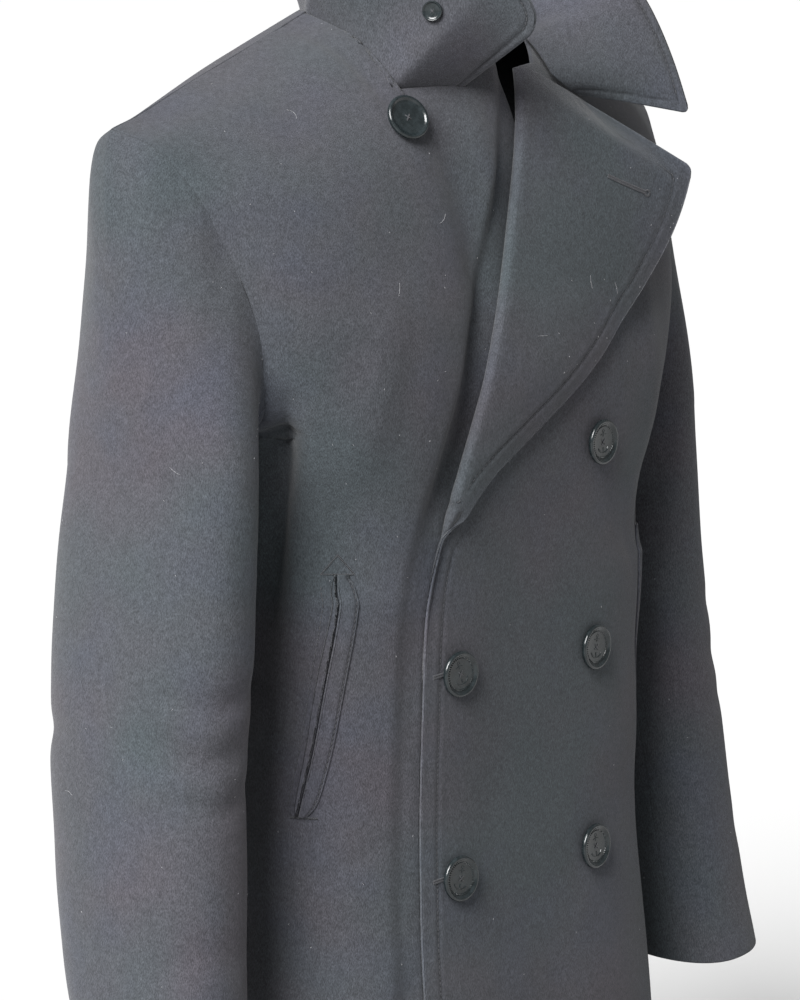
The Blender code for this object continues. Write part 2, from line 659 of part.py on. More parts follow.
def pocket(front, side, word):
    """A welt in front of the slanted opening and a narrow lip behind it, on the front's points."""
    front = front[ROW_LEVELS < POCKET_TOP]
    front = front + outward(front) * HALF_CLOTH
    z = np.linspace(POCKET[0][0], POCKET[-1][0], POCKET_ROWS)
    zs = column(POCKET, POCKET_COLUMNS, "z")[::-1]

    def at(name):
        return smooth_between(z, zs, column(POCKET, POCKET_COLUMNS, name)[::-1])

    opening = at("x")
    ends = np.sqrt(np.clip(1 - np.linspace(-1, 1, POCKET_ROWS) ** POCKET_ROUND, 0.15, 1))
    strips = (
        ("pocket_welt_", WELT_GAP, at("front_width") * ends),
        ("pocket_lip_", -WELT_GAP, -at("lip_width") * ends),
    )
    for name, near, far in strips:
        lines = []
        for share in np.linspace(0, 1, 4):
            lines.append(section_walk(front, z, opening, near + (far - near) * share))
        grid = np.stack(lines, axis=1)
        grid = grid + outward(grid) * (WELT_GAP + WELT_THICK / 2)
        new_sheet(name + word, grid, WELT_THICK)


def button_mesh(name, radius, thick, hole, spread):
    """A turned button with a rim and four holes, its back at z = 0."""
    profile = (
        (0.0, thick * 0.55),
        (radius * 0.60, thick * 0.62),
        (radius * 0.80, thick * 0.95),
        (radius * 0.92, thick),
        (radius, thick * 0.62),
        (radius * 0.92, thick * 0.15),
        (radius * 0.60, 0.0),
        (0.0, 0.0),
    )
    mesh = bpy.data.meshes.new(name)
    edges = [(i, i + 1) for i in range(len(profile) - 1)]
    mesh.from_pydata([(x, 0.0, z) for x, z in profile], edges, [])
    turned = bpy.data.objects.new(name + "_turned", mesh)
    COAT.objects.link(turned)
    screw = turned.modifiers.new("turn", "SCREW")
    screw.steps = 20
    screw.render_steps = 20
    screw.use_merge_vertices = True
    screw.merge_threshold = WELD
    for i in range(4):
        angle = math.pi / 4 + i * math.pi / 2
        place = (spread * math.cos(angle), spread * math.sin(angle), 0)
        bpy.ops.mesh.primitive_cylinder_add(vertices=8, radius=hole, depth=thick * 4, location=place)
        cutter = bpy.context.object
        for owner in cutter.users_collection:
            owner.objects.unlink(cutter)
        CUTTERS.objects.link(cutter)
        cutter.hide_render = True
        cutter.display_type = "WIRE"
        cut = turned.modifiers.new("hole", "BOOLEAN")
        cut.object = cutter
        cut.solver = "EXACT"
    bpy.context.view_layer.update()
    graph = bpy.context.evaluated_depsgraph_get()
    solid = bpy.data.meshes.new_from_object(turned.evaluated_get(graph))
    bpy.data.objects.remove(turned)
    for cutter in list(CUTTERS.objects):
        bpy.data.objects.remove(cutter)
    solid.shade_smooth()
    solid.set_sharp_from_angle(angle=math.radians(35))
    solid.name = name
    return solid


def place_button(name, mesh, point, normal):
    """A button on a point of the cloth, facing along the normal."""
    piece = bpy.data.objects.new(name, mesh.copy())
    COAT.objects.link(piece)
    direction = Vector(normal)
    piece.rotation_euler = direction.to_track_quat("Z", "Y").to_euler()
    piece.location = Vector(point) + direction * BUTTON_LIFT
    piece.data.materials.clear()
    piece.data.materials.append(material(name, BUTTON_COLOUR, BUTTON_ROUGHNESS))


def cloth_point(x, level):
    """A point of the front's outer face and its outward normal."""
    step = 0.003
    xs = np.array([x - step, x, x + step])
    levels = np.array([level - step, level, level + step])
    patch = np.stack([body_points(FRONT, xs, np.full(3, one)) for one in levels])
    return patch[1, 1], outward(patch)[1, 1]


for old in list(bpy.data.objects):
    bpy.data.objects.remove(old)
COAT = bpy.data.collections.new("Pea coat")
CUTTERS = bpy.data.collections.new("Cutters")
bpy.context.scene.collection.children.link(COAT)
bpy.context.scene.collection.children.link(CUTTERS)

back_left = back_panel("back_left", 1)
back_right = back_panel("back_right", -1)
right_grid = right_front()
body, turn, lapel, rows = left_front()
flap = np.concatenate([body[:, -1:], turn, lapel], axis=1)[rows]
join_blocks("front_left", [body, flap])
collar_grid = collar(right_grid[-1], body[-1], lapel[-1], back_right[-1], back_left[-1])
for side, word, front in ((1, "left", body), (-1, "right", right_grid)):
    sleeve(side, word)
    pocket(front, side, word)

big = button_mesh("button", BUTTON_RADIUS, BUTTON_THICK, HOLE_RADIUS, HOLE_SPREAD)
small = button_mesh(
    "small_button", SMALL_BUTTON_RADIUS, SMALL_BUTTON_THICK, SMALL_HOLE_RADIUS, SMALL_HOLE_SPREAD
)
for row, z in enumerate(BUTTON_ROWS):
    for column_side, word in ((1, "left"), (-1, "right")):
        if row == 0 and column_side < 0:
            continue
        point, normal = cloth_point(column_side * BUTTON_X, z)
        place_button("button_%s_%d" % (word, row + 1), big, point, normal)
chest_level = level_at(np.array([CHEST_BUTTON[1]]), np.array([CHEST_BUTTON[0]]))[0]
point, normal = cloth_point(CHEST_BUTTON[0], chest_level)
place_button("button_chest", big, point, normal)
patch = collar_grid[2:5, 4:7]
normal = outward(patch)[1, 1]
place_button("button_collar", small, patch[1, 1] + normal * HALF_CLOTH, normal)
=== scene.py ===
"""Looks of a double-breasted melton pea coat, filled out with no wearer, in metres.

+Z is up, +X the wearer's left and -Y the front. Each piece of cloth is a thin
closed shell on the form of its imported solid, with the creases, thick edges and
topstitching that the solid leaves out.
"""
import math
from functools import lru_cache

import bpy
import numpy as np
from bpy.props import FloatProperty, FloatVectorProperty, IntProperty, PointerProperty
from mathutils import Matrix, Vector


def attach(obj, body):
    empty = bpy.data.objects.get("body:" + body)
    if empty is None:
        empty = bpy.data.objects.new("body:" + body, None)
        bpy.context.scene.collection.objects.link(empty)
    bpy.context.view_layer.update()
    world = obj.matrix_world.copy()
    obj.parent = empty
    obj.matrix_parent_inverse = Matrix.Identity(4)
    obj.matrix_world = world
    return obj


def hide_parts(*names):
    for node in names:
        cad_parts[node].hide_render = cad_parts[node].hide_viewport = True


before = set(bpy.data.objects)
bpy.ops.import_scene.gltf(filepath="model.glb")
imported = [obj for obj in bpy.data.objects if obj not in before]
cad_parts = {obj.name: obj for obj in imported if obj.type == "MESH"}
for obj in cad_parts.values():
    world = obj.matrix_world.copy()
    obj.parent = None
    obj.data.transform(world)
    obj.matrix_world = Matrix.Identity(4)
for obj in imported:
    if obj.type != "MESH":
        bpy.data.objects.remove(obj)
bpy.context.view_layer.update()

bl_info = {
    "name": "Melton pea coat",
    "version": (1, 0, 0),
    "blender": (4, 5, 0),
    "location": "View3D > Sidebar > Pea coat",
    "description": "Builds the cloth, sewing and buttons of a pea coat around its packed solids",
    "category": "Add Mesh",
}

BODY = "root"
MELTON_SLOT = "melton"
BUTTON_SLOT = "button"

# ---------------------------------------------------------------- sizes

CLOTH = 0.0024
HALF = CLOTH / 2
LAYER_STEP = CLOTH + 0.0006
CHEST_Z = -0.150
HEM_Z = -0.790
CENTRE_ROUND = 0.10

BODY_COLUMNS = ("level", "side_x", "side_y", "side_z", "centre_y", "centre_z", "square", "reach")
FRONT = (
    (-0.790, 0.184, 0.000, -0.790, -0.117, -0.790, 3.0, 1.00),
    (-0.632, 0.170, 0.000, -0.632, -0.110, -0.632, 3.1, 1.00),
    (-0.540, 0.161, 0.000, -0.540, -0.105, -0.540, 3.1, 1.00),
    (-0.430, 0.160, 0.000, -0.430, -0.104, -0.430, 3.2, 1.00),
    (-0.350, 0.163, 0.000, -0.350, -0.105, -0.350, 3.1, 1.00),
    (-0.290, 0.170, 0.000, -0.290, -0.108, -0.290, 3.0, 1.00),
    (-0.262, 0.174, 0.000, -0.262, -0.109, -0.262, 3.0, 1.00),
    (-0.248, 0.178, 0.000, -0.248, -0.109, -0.248, 3.0, 1.00),
    (-0.243, 0.180, -0.036, -0.243, -0.109, -0.243, 3.0, 0.99),
    (-0.228, 0.183, -0.052, -0.228, -0.108, -0.228, 3.0, 0.97),
    (-0.187, 0.190, -0.055, -0.187, -0.104, -0.187, 3.0, 0.97),
    (-0.150, 0.199, -0.048, -0.150, -0.097, -0.150, 3.0, 0.97),
    (-0.120, 0.206, -0.038, -0.126, -0.090, -0.104, 2.6, 0.97),
    (-0.090, 0.213, -0.030, -0.104, -0.080, -0.058, 2.1, 0.98),
    (-0.060, 0.220, -0.020, -0.088, -0.063, -0.019, 1.7, 0.99),
    (-0.030, 0.229, -0.004, -0.070, -0.030, 0.013, 1.3, 1.00),
    (0.000, 0.236, 0.023, -0.061, 0.011, 0.027, 1.0, 1.00),
)
BACK = (
    (-0.790, 0.184, 0.000, -0.790, 0.128, -0.790, 2.6, 1.00),
    (-0.632, 0.170, 0.000, -0.632, 0.120, -0.632, 2.6, 1.00),
    (-0.540, 0.161, 0.000, -0.540, 0.114, -0.540, 2.6, 1.00),
    (-0.430, 0.160, 0.000, -0.430, 0.110, -0.430, 2.6, 1.00),
    (-0.350, 0.163, 0.000, -0.350, 0.113, -0.350, 2.6, 1.00),
    (-0.290, 0.170, 0.000, -0.290, 0.119, -0.290, 2.7, 1.00),
    (-0.262, 0.174, 0.000, -0.262, 0.122, -0.262, 2.8, 1.00),
    (-0.248, 0.178, 0.000, -0.248, 0.123, -0.248, 2.8, 1.00),
    (-0.243, 0.181, 0.034, -0.243, 0.123, -0.243, 2.8, 0.99),
    (-0.228, 0.186, 0.055, -0.228, 0.124, -0.228, 2.8, 0.97),
    (-0.187, 0.196, 0.064, -0.187, 0.125, -0.187, 2.8, 0.97),
    (-0.150, 0.206, 0.064, -0.150, 0.123, -0.150, 2.8, 0.97),
    (-0.120, 0.213, 0.060, -0.126, 0.118, -0.114, 2.6, 0.97),
    (-0.090, 0.219, 0.055, -0.104, 0.110, -0.074, 2.1, 0.98),
    (-0.060, 0.226, 0.048, -0.088, 0.095, -0.036, 1.7, 0.99),
    (-0.030, 0.233, 0.038, -0.070, 0.066, 0.003, 1.3, 1.00),
    (0.000, 0.236, 0.023, -0.061, 0.011, 0.027, 1.0, 1.00),
)

TOP_COLUMNS = ("share", "x", "level")
BACK_TOP = ((0.00, 0.2360, 0.000), (0.60, 0.0765, 0.000), (0.78, 0.0560, -0.015), (1.00, 0.0004, -0.031))
RIGHT_TOP = (
    (0.00, 0.2360, 0.000),
    (0.42, 0.0765, 0.000),
    (0.50, 0.0775, -0.022),
    (0.57, 0.0785, -0.044),
    (0.64, 0.0755, -0.062),
    (0.82, 0.0250, -0.075),
    (1.00, -0.0120, -0.066),
)
LEFT_TOP = (
    (0.00, 0.2360, 0.000),
    (0.50, 0.0765, 0.000),
    (0.64, 0.0755, -0.022),
    (0.76, 0.0690, -0.042),
    (0.88, 0.0520, -0.060),
    (1.00, 0.0300, -0.067),
)
EDGE_COLUMNS = ("level", "x")
CENTRE_EDGE = ((-0.790, 0.0004), (0.000, 0.0004))
RIGHT_EDGE = ((-0.790, 0.060), (-0.300, 0.058), (-0.200, 0.042), (-0.120, 0.024), (-0.066, 0.012))
ROLL = (
    (-0.790, -0.0960),
    (-0.602, -0.0945),
    (-0.413, -0.0920),
    (-0.363, -0.0900),
    (-0.309, -0.0790),
    (-0.271, -0.0660),
    (-0.204, -0.0386),
    (-0.144, -0.0120),
    (-0.105, 0.0100),
    (-0.067, 0.0300),
)
ROLL_TOP = -0.067

LAPEL_COLUMNS = ("level", "edge_x", "edge_y", "edge_z")
LAPEL = (
    (-0.380, -0.0910, -0.1060, -0.380),
    (-0.346, -0.0850, -0.1080, -0.347),
    (-0.330, -0.0800, -0.1085, -0.331),
    (-0.309, -0.0710, -0.1090, -0.312),
    (-0.294, -0.0620, -0.1100, -0.299),
    (-0.271, -0.0420, -0.1105, -0.281),
    (-0.233, -0.0050, -0.1110, -0.258),
    (-0.204, 0.0350, -0.1100, -0.234),
    (-0.174, 0.0660, -0.1080, -0.212),
    (-0.144, 0.0900, -0.1070, -0.191),
    (-0.126, 0.1080, -0.1080, -0.173),
    (-0.105, 0.1240, -0.1120, -0.150),
    (-0.088, 0.1345, -0.1155, -0.128),
    (-0.067, 0.1430, -0.1190, -0.100),
)
NOTCH = (0.083, -0.073, -0.056)
NOTCH_SHARE = 0.52
FOLD_RADIUS = 0.0031
FOLD_RUN = 0.004
LAPEL_CLEARANCE = 0.0036
TURN_FROM = -0.400
TURN_TO = -0.318

COLLAR_COLUMNS = ("share", "x", "y", "z", "bow")
COLLAR = (
    (0.00, -0.016, -0.127, -0.004, 0.000),
    (0.05, -0.021, -0.124, 0.012, 0.000),
    (0.11, -0.032, -0.115, 0.031, 0.001),
    (0.18, -0.050, -0.097, 0.051, 0.003),
    (0.26, -0.076, -0.060, 0.070, 0.008),
    (0.34, -0.090, -0.012, 0.079, 0.006),
    (0.42, -0.084, 0.048, 0.085, 0.004),
    (0.51, 0.000, 0.097, 0.092, 0.003),
    (0.61, 0.084, 0.050, 0.086, 0.004),
    (0.70, 0.101, -0.010, 0.072, 0.006),
    (0.80, 0.117, -0.059, 0.042, 0.006),
    (0.88, 0.128, -0.090, 0.008, 0.004),
    (0.95, 0.139, -0.106, -0.034, 0.002),
    (1.00, 0.142, -0.117, -0.066, 0.001),
)

SLEEVE_COLUMNS = ("z", "right_x", "left_x", "right_y", "left_y", "half_x", "half_y")
SLEEVE = (
    (-0.268, 0.2225, 0.2160, -0.003, 0.016, 0.0325, 0.072),
    (-0.350, 0.2280, 0.2260, 0.000, 0.022, 0.0375, 0.074),
    (-0.430, 0.2325, 0.2305, 0.000, 0.014, 0.0400, 0.072),
    (-0.500, 0.2365, 0.2350, -0.004, 0.003, 0.0405, 0.069),
    (-0.570, 0.2405, 0.2395, -0.011, -0.010, 0.0400, 0.065),
    (-0.630, 0.2440, 0.2435, -0.022, -0.028, 0.0390, 0.059),
)
SLEEVE_SQUARE = 2.3
UNDER_START = 11 / 28
UNDER_END = 19 / 28

POCKET_COLUMNS = ("z", "x", "front_width", "lip_width")
POCKET = (
    (-0.333, 0.1420, 0.0125, 0.0035),
    (-0.400, 0.1470, 0.0125, 0.0060),
    (-0.485, 0.1545, 0.0115, 0.0040),
)
WELT_THICK = 0.0016
WELT_GAP = 0.0004

BUTTON_RADIUS = 0.0145
BUTTON_THICK = 0.0042
BUTTON_X = 0.065
BUTTON_ROWS = (-0.269, -0.401, -0.530)
CHEST_BUTTON = (-0.078, -0.062)
SMALL_RADIUS = 0.0063
SMALL_THICK = 0.0026
EDGE_STITCH = 0.0125
SEAM_LAP = 0.0005
COLLAR_STITCH = 0.0058


# ---------------------------------------------------------------- reading the tables

def column(table, names, name):
    """One named column of a table as an array."""
    return np.array([row[names.index(name)] for row in table])


def smooth_between(x, xs, ys):
    """Cubic through (xs, ys) that never overshoots: each slope is its neighbours' harmonic mean."""
    steps = np.diff(xs)
    slopes = np.diff(ys) / steps
    product = slopes[:-1] * slopes[1:]
    inner = np.where(product > 0, 2 * product / (slopes[:-1] + slopes[1:] + 1e-30), 0)
    tangents = np.concatenate([slopes[:1], inner, slopes[-1:]])
    x = np.clip(x, xs[0], xs[-1])
    k = np.clip(np.searchsorted(xs, x, side="right") - 1, 0, len(steps) - 1)
    h = steps[k]
    t = (x - xs[k]) / h
    first = ys[k] * (1 + 2 * t) * (1 - t) ** 2 + ys[k + 1] * t * t * (3 - 2 * t)
    return first + h * (tangents[k] * t * (1 - t) ** 2 - tangents[k + 1] * t * t * (1 - t))


def read(table, names, name, at):
    """A named column read at values of the table's first column."""
    return smooth_between(np.asarray(at, float), column(table, names, names[0]), column(table, names, name))


def ease(t):
    """0 to 1 with flat ends: t squared times 3 minus 2 t."""
    t = np.clip(t, 0, 1)
    return t * t * (3 - 2 * t)


def unit(vectors):
    """Vectors of length one."""
    return vectors / (np.linalg.norm(vectors, axis=-1, keepdims=True) + 1e-12)


def grid_normals(grid):
    """Normal of a grid: the cross product of its two differences."""
    return unit(np.cross(np.gradient(grid, axis=1), np.gradient(grid, axis=0)))


def outward(grid):
    """Grid normals turned away from the coat's upright middle line."""
    normal = grid_normals(grid)
    return normal if (normal * grid * (1, 1, 0)).sum() > 0 else -normal


def resample(line, shares):
    """Points at given shares of a line's length."""
    steps = np.linalg.norm(np.diff(line, axis=0), axis=1)
    length = np.concatenate([[0], np.cumsum(steps)])
    return np.stack([np.interp(shares, length / length[-1], line[:, axis]) for axis in range(3)], axis=-1)


def from_line(points, line, axes=(0, 1, 2)):
    """Distance from each point to a broken line, and the nearest share of the line's length."""
    flat = points[..., axes]
    line = np.asarray(line, float)
    lengths = np.linalg.norm(np.diff(line, axis=0), axis=1)
    starts = np.concatenate([[0], np.cumsum(lengths)])
    best = np.full(flat.shape[:-1], 1e9)
    share = np.zeros(flat.shape[:-1])
    for k in range(len(line) - 1):
        step = line[k + 1] - line[k]
        t = np.clip(((flat - line[k]) @ step) / (step @ step + 1e-18), 0, 1)
        away = np.linalg.norm(flat - line[k] - t[..., None] * step, axis=-1)
        nearer = away < best
        best = np.where(nearer, away, best)
        share = np.where(nearer, (starts[k] + t * lengths[k]) / starts[-1], share)
    return best, share


# ---------------------------------------------------------------- body panels

def section_points(table, x, level):
    """Outer face of the front or back at signed x and level.

    With share r = |x| / side_x rounded near 0, and n and c the section's
    square and reach, depth is ((1 - (c r)^n)^(1/n) - e) / (1 - e), where e is
    the same root at r = 1. y runs from side_y to centre_y with depth, and z
    from centre_z to side_z with r.
    """
    side_x, side_y, side_z, centre_y, centre_z, square, reach = (
        read(table, BODY_COLUMNS, name, level) for name in BODY_COLUMNS[1:]
    )
    share = np.clip(np.abs(x) / side_x, 0, 1)
    share = (np.hypot(share, CENTRE_ROUND) - CENTRE_ROUND) / (math.hypot(1, CENTRE_ROUND) - CENTRE_ROUND)
    end = np.maximum(1 - reach ** square, 0) ** (1 / square)
    here = np.maximum(1 - (reach * share) ** square, 0) ** (1 / square)
    depth = (here - end) / (1 - end)
    return np.stack([x, side_y + (centre_y - side_y) * depth, centre_z + (side_z - centre_z) * share], axis=-1)


def body_points(table, x, level):
    """Outer face at x and level: beside the armhole the table as it is, and farther in without its sudden rows."""
    sharp = section_points(table, x, level)
    soft = section_points([row for row in table if not -0.30 < row[0] < -0.23], x, level)
    near = ease((np.abs(x) / read(table, BODY_COLUMNS, "side_x", level) - 0.92) / 0.07)[..., None]
    return soft + (sharp - soft) * near


def levels(fine):
    """Levels of the rows from hem to shoulder seam, closer together from the underarm up."""
    return np.concatenate([
        np.linspace(HEM_Z, -0.262, round(120 * fine), endpoint=False),
        np.linspace(-0.262, -0.228, round(18 * fine), endpoint=False),
        np.linspace(-0.228, CHEST_Z, round(28 * fine), endpoint=False),
        np.linspace(CHEST_Z, 0.0, round(48 * fine)),
    ])


BLEND_START = -0.235
BLEND_POWER = 1.6


def panel(table, side, top, edge, columns, side_level, edge_shift=0.0):
    """A body panel's outer face: rows run from the side to the front or centre edge.

    Share of the half width and level are straight blends between a row's two
    ends, and above BLEND_START both bend toward the table of the top edge.
    """
    above = np.clip((side_level - BLEND_START) / -BLEND_START, 0, 1)
    edge_level = BLEND_START + above * (top[-1][2] - BLEND_START)
    edge_level = np.where(side_level < BLEND_START, side_level, edge_level)
    edge_x = (read(edge, EDGE_COLUMNS, "x", edge_level) + edge_shift) * side
    edge_share = edge_x / read(table, BODY_COLUMNS, "side_x", edge_level)
    c = columns[None, :]
    share = 1 + (edge_share[:, None] - 1) * c
    level = side_level[:, None] + (edge_level - side_level)[:, None] * c
    top_level = np.interp(columns, column(top, TOP_COLUMNS, "share"), column(top, TOP_COLUMNS, "level"))
    top_x = np.interp(columns, column(top, TOP_COLUMNS, "share"), column(top, TOP_COLUMNS, "x"))
    top_share = top_x / read(table, BODY_COLUMNS, "side_x", top_level)
    weight = (above ** BLEND_POWER)[:, None]
    share = share + (top_share - share[-1])[None, :] * weight
    level = level + (top_level - level[-1])[None, :] * weight
    x = share * read(table, BODY_COLUMNS, "side_x", level) * side
    return body_points(table, x, level), level, edge_level


def level_at(z, x):
    """The level whose row passes height z at x, above the chest line."""
    tries = np.linspace(CHEST_Z, 0, 400)[:, None]
    centre, side_z, side_x = (read(FRONT, BODY_COLUMNS, n, tries) for n in ("centre_z", "side_z", "side_x"))
    heights = centre + (side_z - centre) * np.clip(np.abs(x).ravel() / side_x, 0, 1)
    return tries[np.argmin(np.abs(heights - z.ravel()), axis=0), 0].reshape(np.shape(z))


# Creases, listed one by one. Each has a line of points, its depth (less than 0 is a
# ridge) and its half width, and fades at both ends.
CREASE_COLUMNS = ("line", "depth", "width")
RIGHT_CREASES = (
    (((-0.058, -0.068), (-0.050, -0.096), (-0.042, -0.130), (-0.038, -0.170), (-0.050, -0.220), (-0.070, -0.280)),
     0.0052, 0.013),
    (((-0.026, -0.062), (-0.018, -0.098), (-0.016, -0.130)), -0.0036, 0.011),
    (((-0.070, -0.280), (-0.082, -0.340), (-0.090, -0.430)), 0.0026, 0.013),
    (((-0.094, -0.010), (-0.089, -0.030), (-0.085, -0.048)), 0.0026, 0.006),
    (((-0.118, -0.170), (-0.128, -0.215), (-0.140, -0.262)), -0.0034, 0.018),
    (((-0.085, -0.150), (-0.092, -0.215), (-0.104, -0.290)), -0.0022, 0.020),
    (((-0.128, -0.395), (-0.122, -0.440), (-0.118, -0.500), (-0.118, -0.560)), 0.0014, 0.016),
    (((-0.120, -0.505), (-0.135, -0.512), (-0.150, -0.522)), 0.0012, 0.005),
    (((-0.100, -0.600), (-0.108, -0.680), (-0.118, -0.786)), 0.0026, 0.020),
    (((-0.140, -0.640), (-0.146, -0.720), (-0.150, -0.788)), -0.0028, 0.018),
)
LEFT_CREASES = (
    (((0.118, -0.180), (0.128, -0.225), (0.140, -0.275)), -0.0034, 0.017),
    (((0.100, -0.290), (0.118, -0.340), (0.126, -0.410)), 0.0020, 0.017),
    (((0.105, -0.330), (0.112, -0.345), (0.122, -0.350)), 0.0010, 0.006),
    (((0.020, -0.600), (0.014, -0.690), (0.006, -0.788)), 0.0018, 0.022),
    (((0.126, -0.520), (0.136, -0.600), (0.140, -0.700), (0.146, -0.788)), -0.0022, 0.018),
    (((-0.040, -0.420), (-0.030, -0.470), (-0.034, -0.540)), 0.0010, 0.020),
)
BACK_CREASES = (
    (((0.165, -0.120), (0.150, -0.175), (0.140, -0.240), (0.146, -0.300)), -0.0034, 0.016),
    (((0.130, -0.190), (0.118, -0.250), (0.112, -0.320)), 0.0026, 0.015),
    (((0.020, -0.060), (0.050, -0.072), (0.085, -0.070)), -0.0012, 0.010),
    (((0.060, -0.350), (0.056, -0.450), (0.066, -0.560)), 0.0018, 0.020),
    (((0.100, -0.560), (0.108, -0.660), (0.114, -0.788)), 0.0026, 0.022),
    (((0.050, -0.640), (0.046, -0.720), (0.044, -0.788)), -0.0020, 0.020),
)
SIDE_FOLD = ((-0.053, -0.228), (-0.049, -0.262), (-0.042, -0.300), (-0.034, -0.345), (-0.022, -0.400))
SIDE_FOLD_DEPTH = 0.014
SIDE_FOLD_WIDTH = 0.012


def creases(grid, rows, mirror=1):
    """Depth drawn in at each point: depth times exp(-(distance / width)^2) for each crease, fading at its ends."""
    drawn = np.zeros(grid.shape[:2])
    for line, depth, width in rows:
        line = np.array(line) * (mirror, 1)
        away, share = from_line(grid, line, (0, 2))
        drawn = drawn + depth * np.exp(-((away / width) ** 2)) * (0.55 + 0.45 * np.sin(np.pi * share) ** 0.7)
    return drawn


def side_fold(grid):
    """How far a front is drawn in along the fold beside the sleeve, ending before the armhole and side seam."""
    away, share = from_line(grid, SIDE_FOLD, (1, 2))
    seam_away, _ = from_line(grid, grid[:, 0][::3])
    fade = ease((np.abs(grid[..., 0]) - 0.10) / 0.02) * (1 - 0.7 * ease((share - 0.3) / 0.7))
    fade = fade * ease((seam_away - 0.002) / 0.020)
    return SIDE_FOLD_DEPTH * np.exp(-((away / SIDE_FOLD_WIDTH) ** 2)) * fade


def slack(grid, seed, size=0.0010):
    """Soft unevenness of hand-pressed cloth: a sum of twelve slow waves with seeded directions."""
    rng = np.random.default_rng(seed)
    wave = np.zeros(grid.shape[:2])
    for _ in range(12):
        way = rng.normal(size=3)
        way = way / np.linalg.norm(way) * rng.uniform(30, 95)
        wave = wave + np.sin(grid @ way + rng.uniform(0, 6.28)) * rng.uniform(0.3, 1.0)
    return wave * size / 4


@lru_cache(None)
def back_mid(side):
    """Middle of the wall of half the back."""
    grid, _, _ = panel(BACK, side, BACK_TOP, CENTRE_EDGE, np.linspace(0, 1, 70) ** 1.2, levels(0.62))
    drawn = creases(grid, BACK_CREASES, side) + slack(grid, 5)
    fade = ease(np.abs(grid[..., 0]) / 0.02) * ease((0.0 - grid[..., 2] + 0.03) / 0.05)
    return grid - outward(grid) * (HALF + drawn * fade)[..., None]


@lru_cache(None)
def right_mid():
    """Middle of the wall of the right front, which runs on flat under the left front."""
    grid, level, _ = panel(FRONT, -1, RIGHT_TOP, RIGHT_EDGE, np.linspace(0, 1, 130) ** 1.25, levels(1.0))
    roll = read(ROLL, EDGE_COLUMNS, "x", np.clip(level, HEM_Z, ROLL_TOP))
    under = ease((grid[..., 0] - roll + 0.024) / 0.012)
    drawn = under * (LAYER_STEP + 0.0015 * ease((level + 0.200) / 0.090))
    shown = 1 - ease((grid[..., 0] - roll + 0.010) / 0.010)
    lapel_side = ease((-grid[..., 0] - 0.020) / 0.030) * ease((grid[..., 2] + 0.32) / 0.04)
    drawn = drawn + creases(grid, RIGHT_CREASES[:1]) + creases(grid, RIGHT_CREASES[1:2]) * (1 - under)
    drawn = drawn + (creases(grid, RIGHT_CREASES[2:]) + slack(grid, 3)) * shown + side_fold(grid)
    drawn = drawn + 0.0022 * under * lapel_side
    return grid - outward(grid) * (HALF + drawn)[..., None]


def lapel_rows(edge, edge_level):
    """Lapel lines from the fold to the free edge, 48 points each, and the turn of the fold before them.

    Where the lapel begins the edge strip is turned little by little: at
    distance s past the roll it lies at R (sin a, 1 - cos a) with a = s / R up
    to the row's full angle, and then straight on.
    """
    tip = np.stack([read(LAPEL, LAPEL_COLUMNS, n, edge_level) for n in LAPEL_COLUMNS[1:]], axis=-1)
    start = edge + np.array([FOLD_RUN, -2 * FOLD_RADIUS, 0.0])
    near = 1 - (1 - np.linspace(0, 1, 48)) ** 1.55
    across = near[None, :, None]
    lines = start[:, None] + (tip - start)[:, None] * across
    notch = np.stack([np.interp(near, [0, NOTCH_SHARE, 1], [start[-1][k], NOTCH[k], tip[-1][k]]) for k in range(3)], -1)
    above = ease((edge_level - edge_level[-1] + 0.012) / 0.012)[:, None, None]
    lines = lines + (notch - lines[-1])[None] * above
    here = np.where(lines[..., 2] < CHEST_Z, lines[..., 2], level_at(lines[..., 2], lines[..., 0]))
    face = body_points(FRONT, lines[..., 0], here)[..., 1] - LAPEL_CLEARANCE
    width = np.linalg.norm(tip - start, axis=1)[:, None]
    bow = 0.0032 * np.sin(np.pi * near)[None] * ease(width / 0.08)
    lines[..., 1] = np.minimum(lines[..., 1], face) - bow
    angle = np.radians(np.linspace(0, 180, 9)[:-1])
    fold = np.stack([-FOLD_RADIUS * np.sin(angle), -FOLD_RADIUS * (1 - np.cos(angle)), 0 * angle], axis=-1)
    return edge[:, None] + fold[None], lines, width[:, 0]


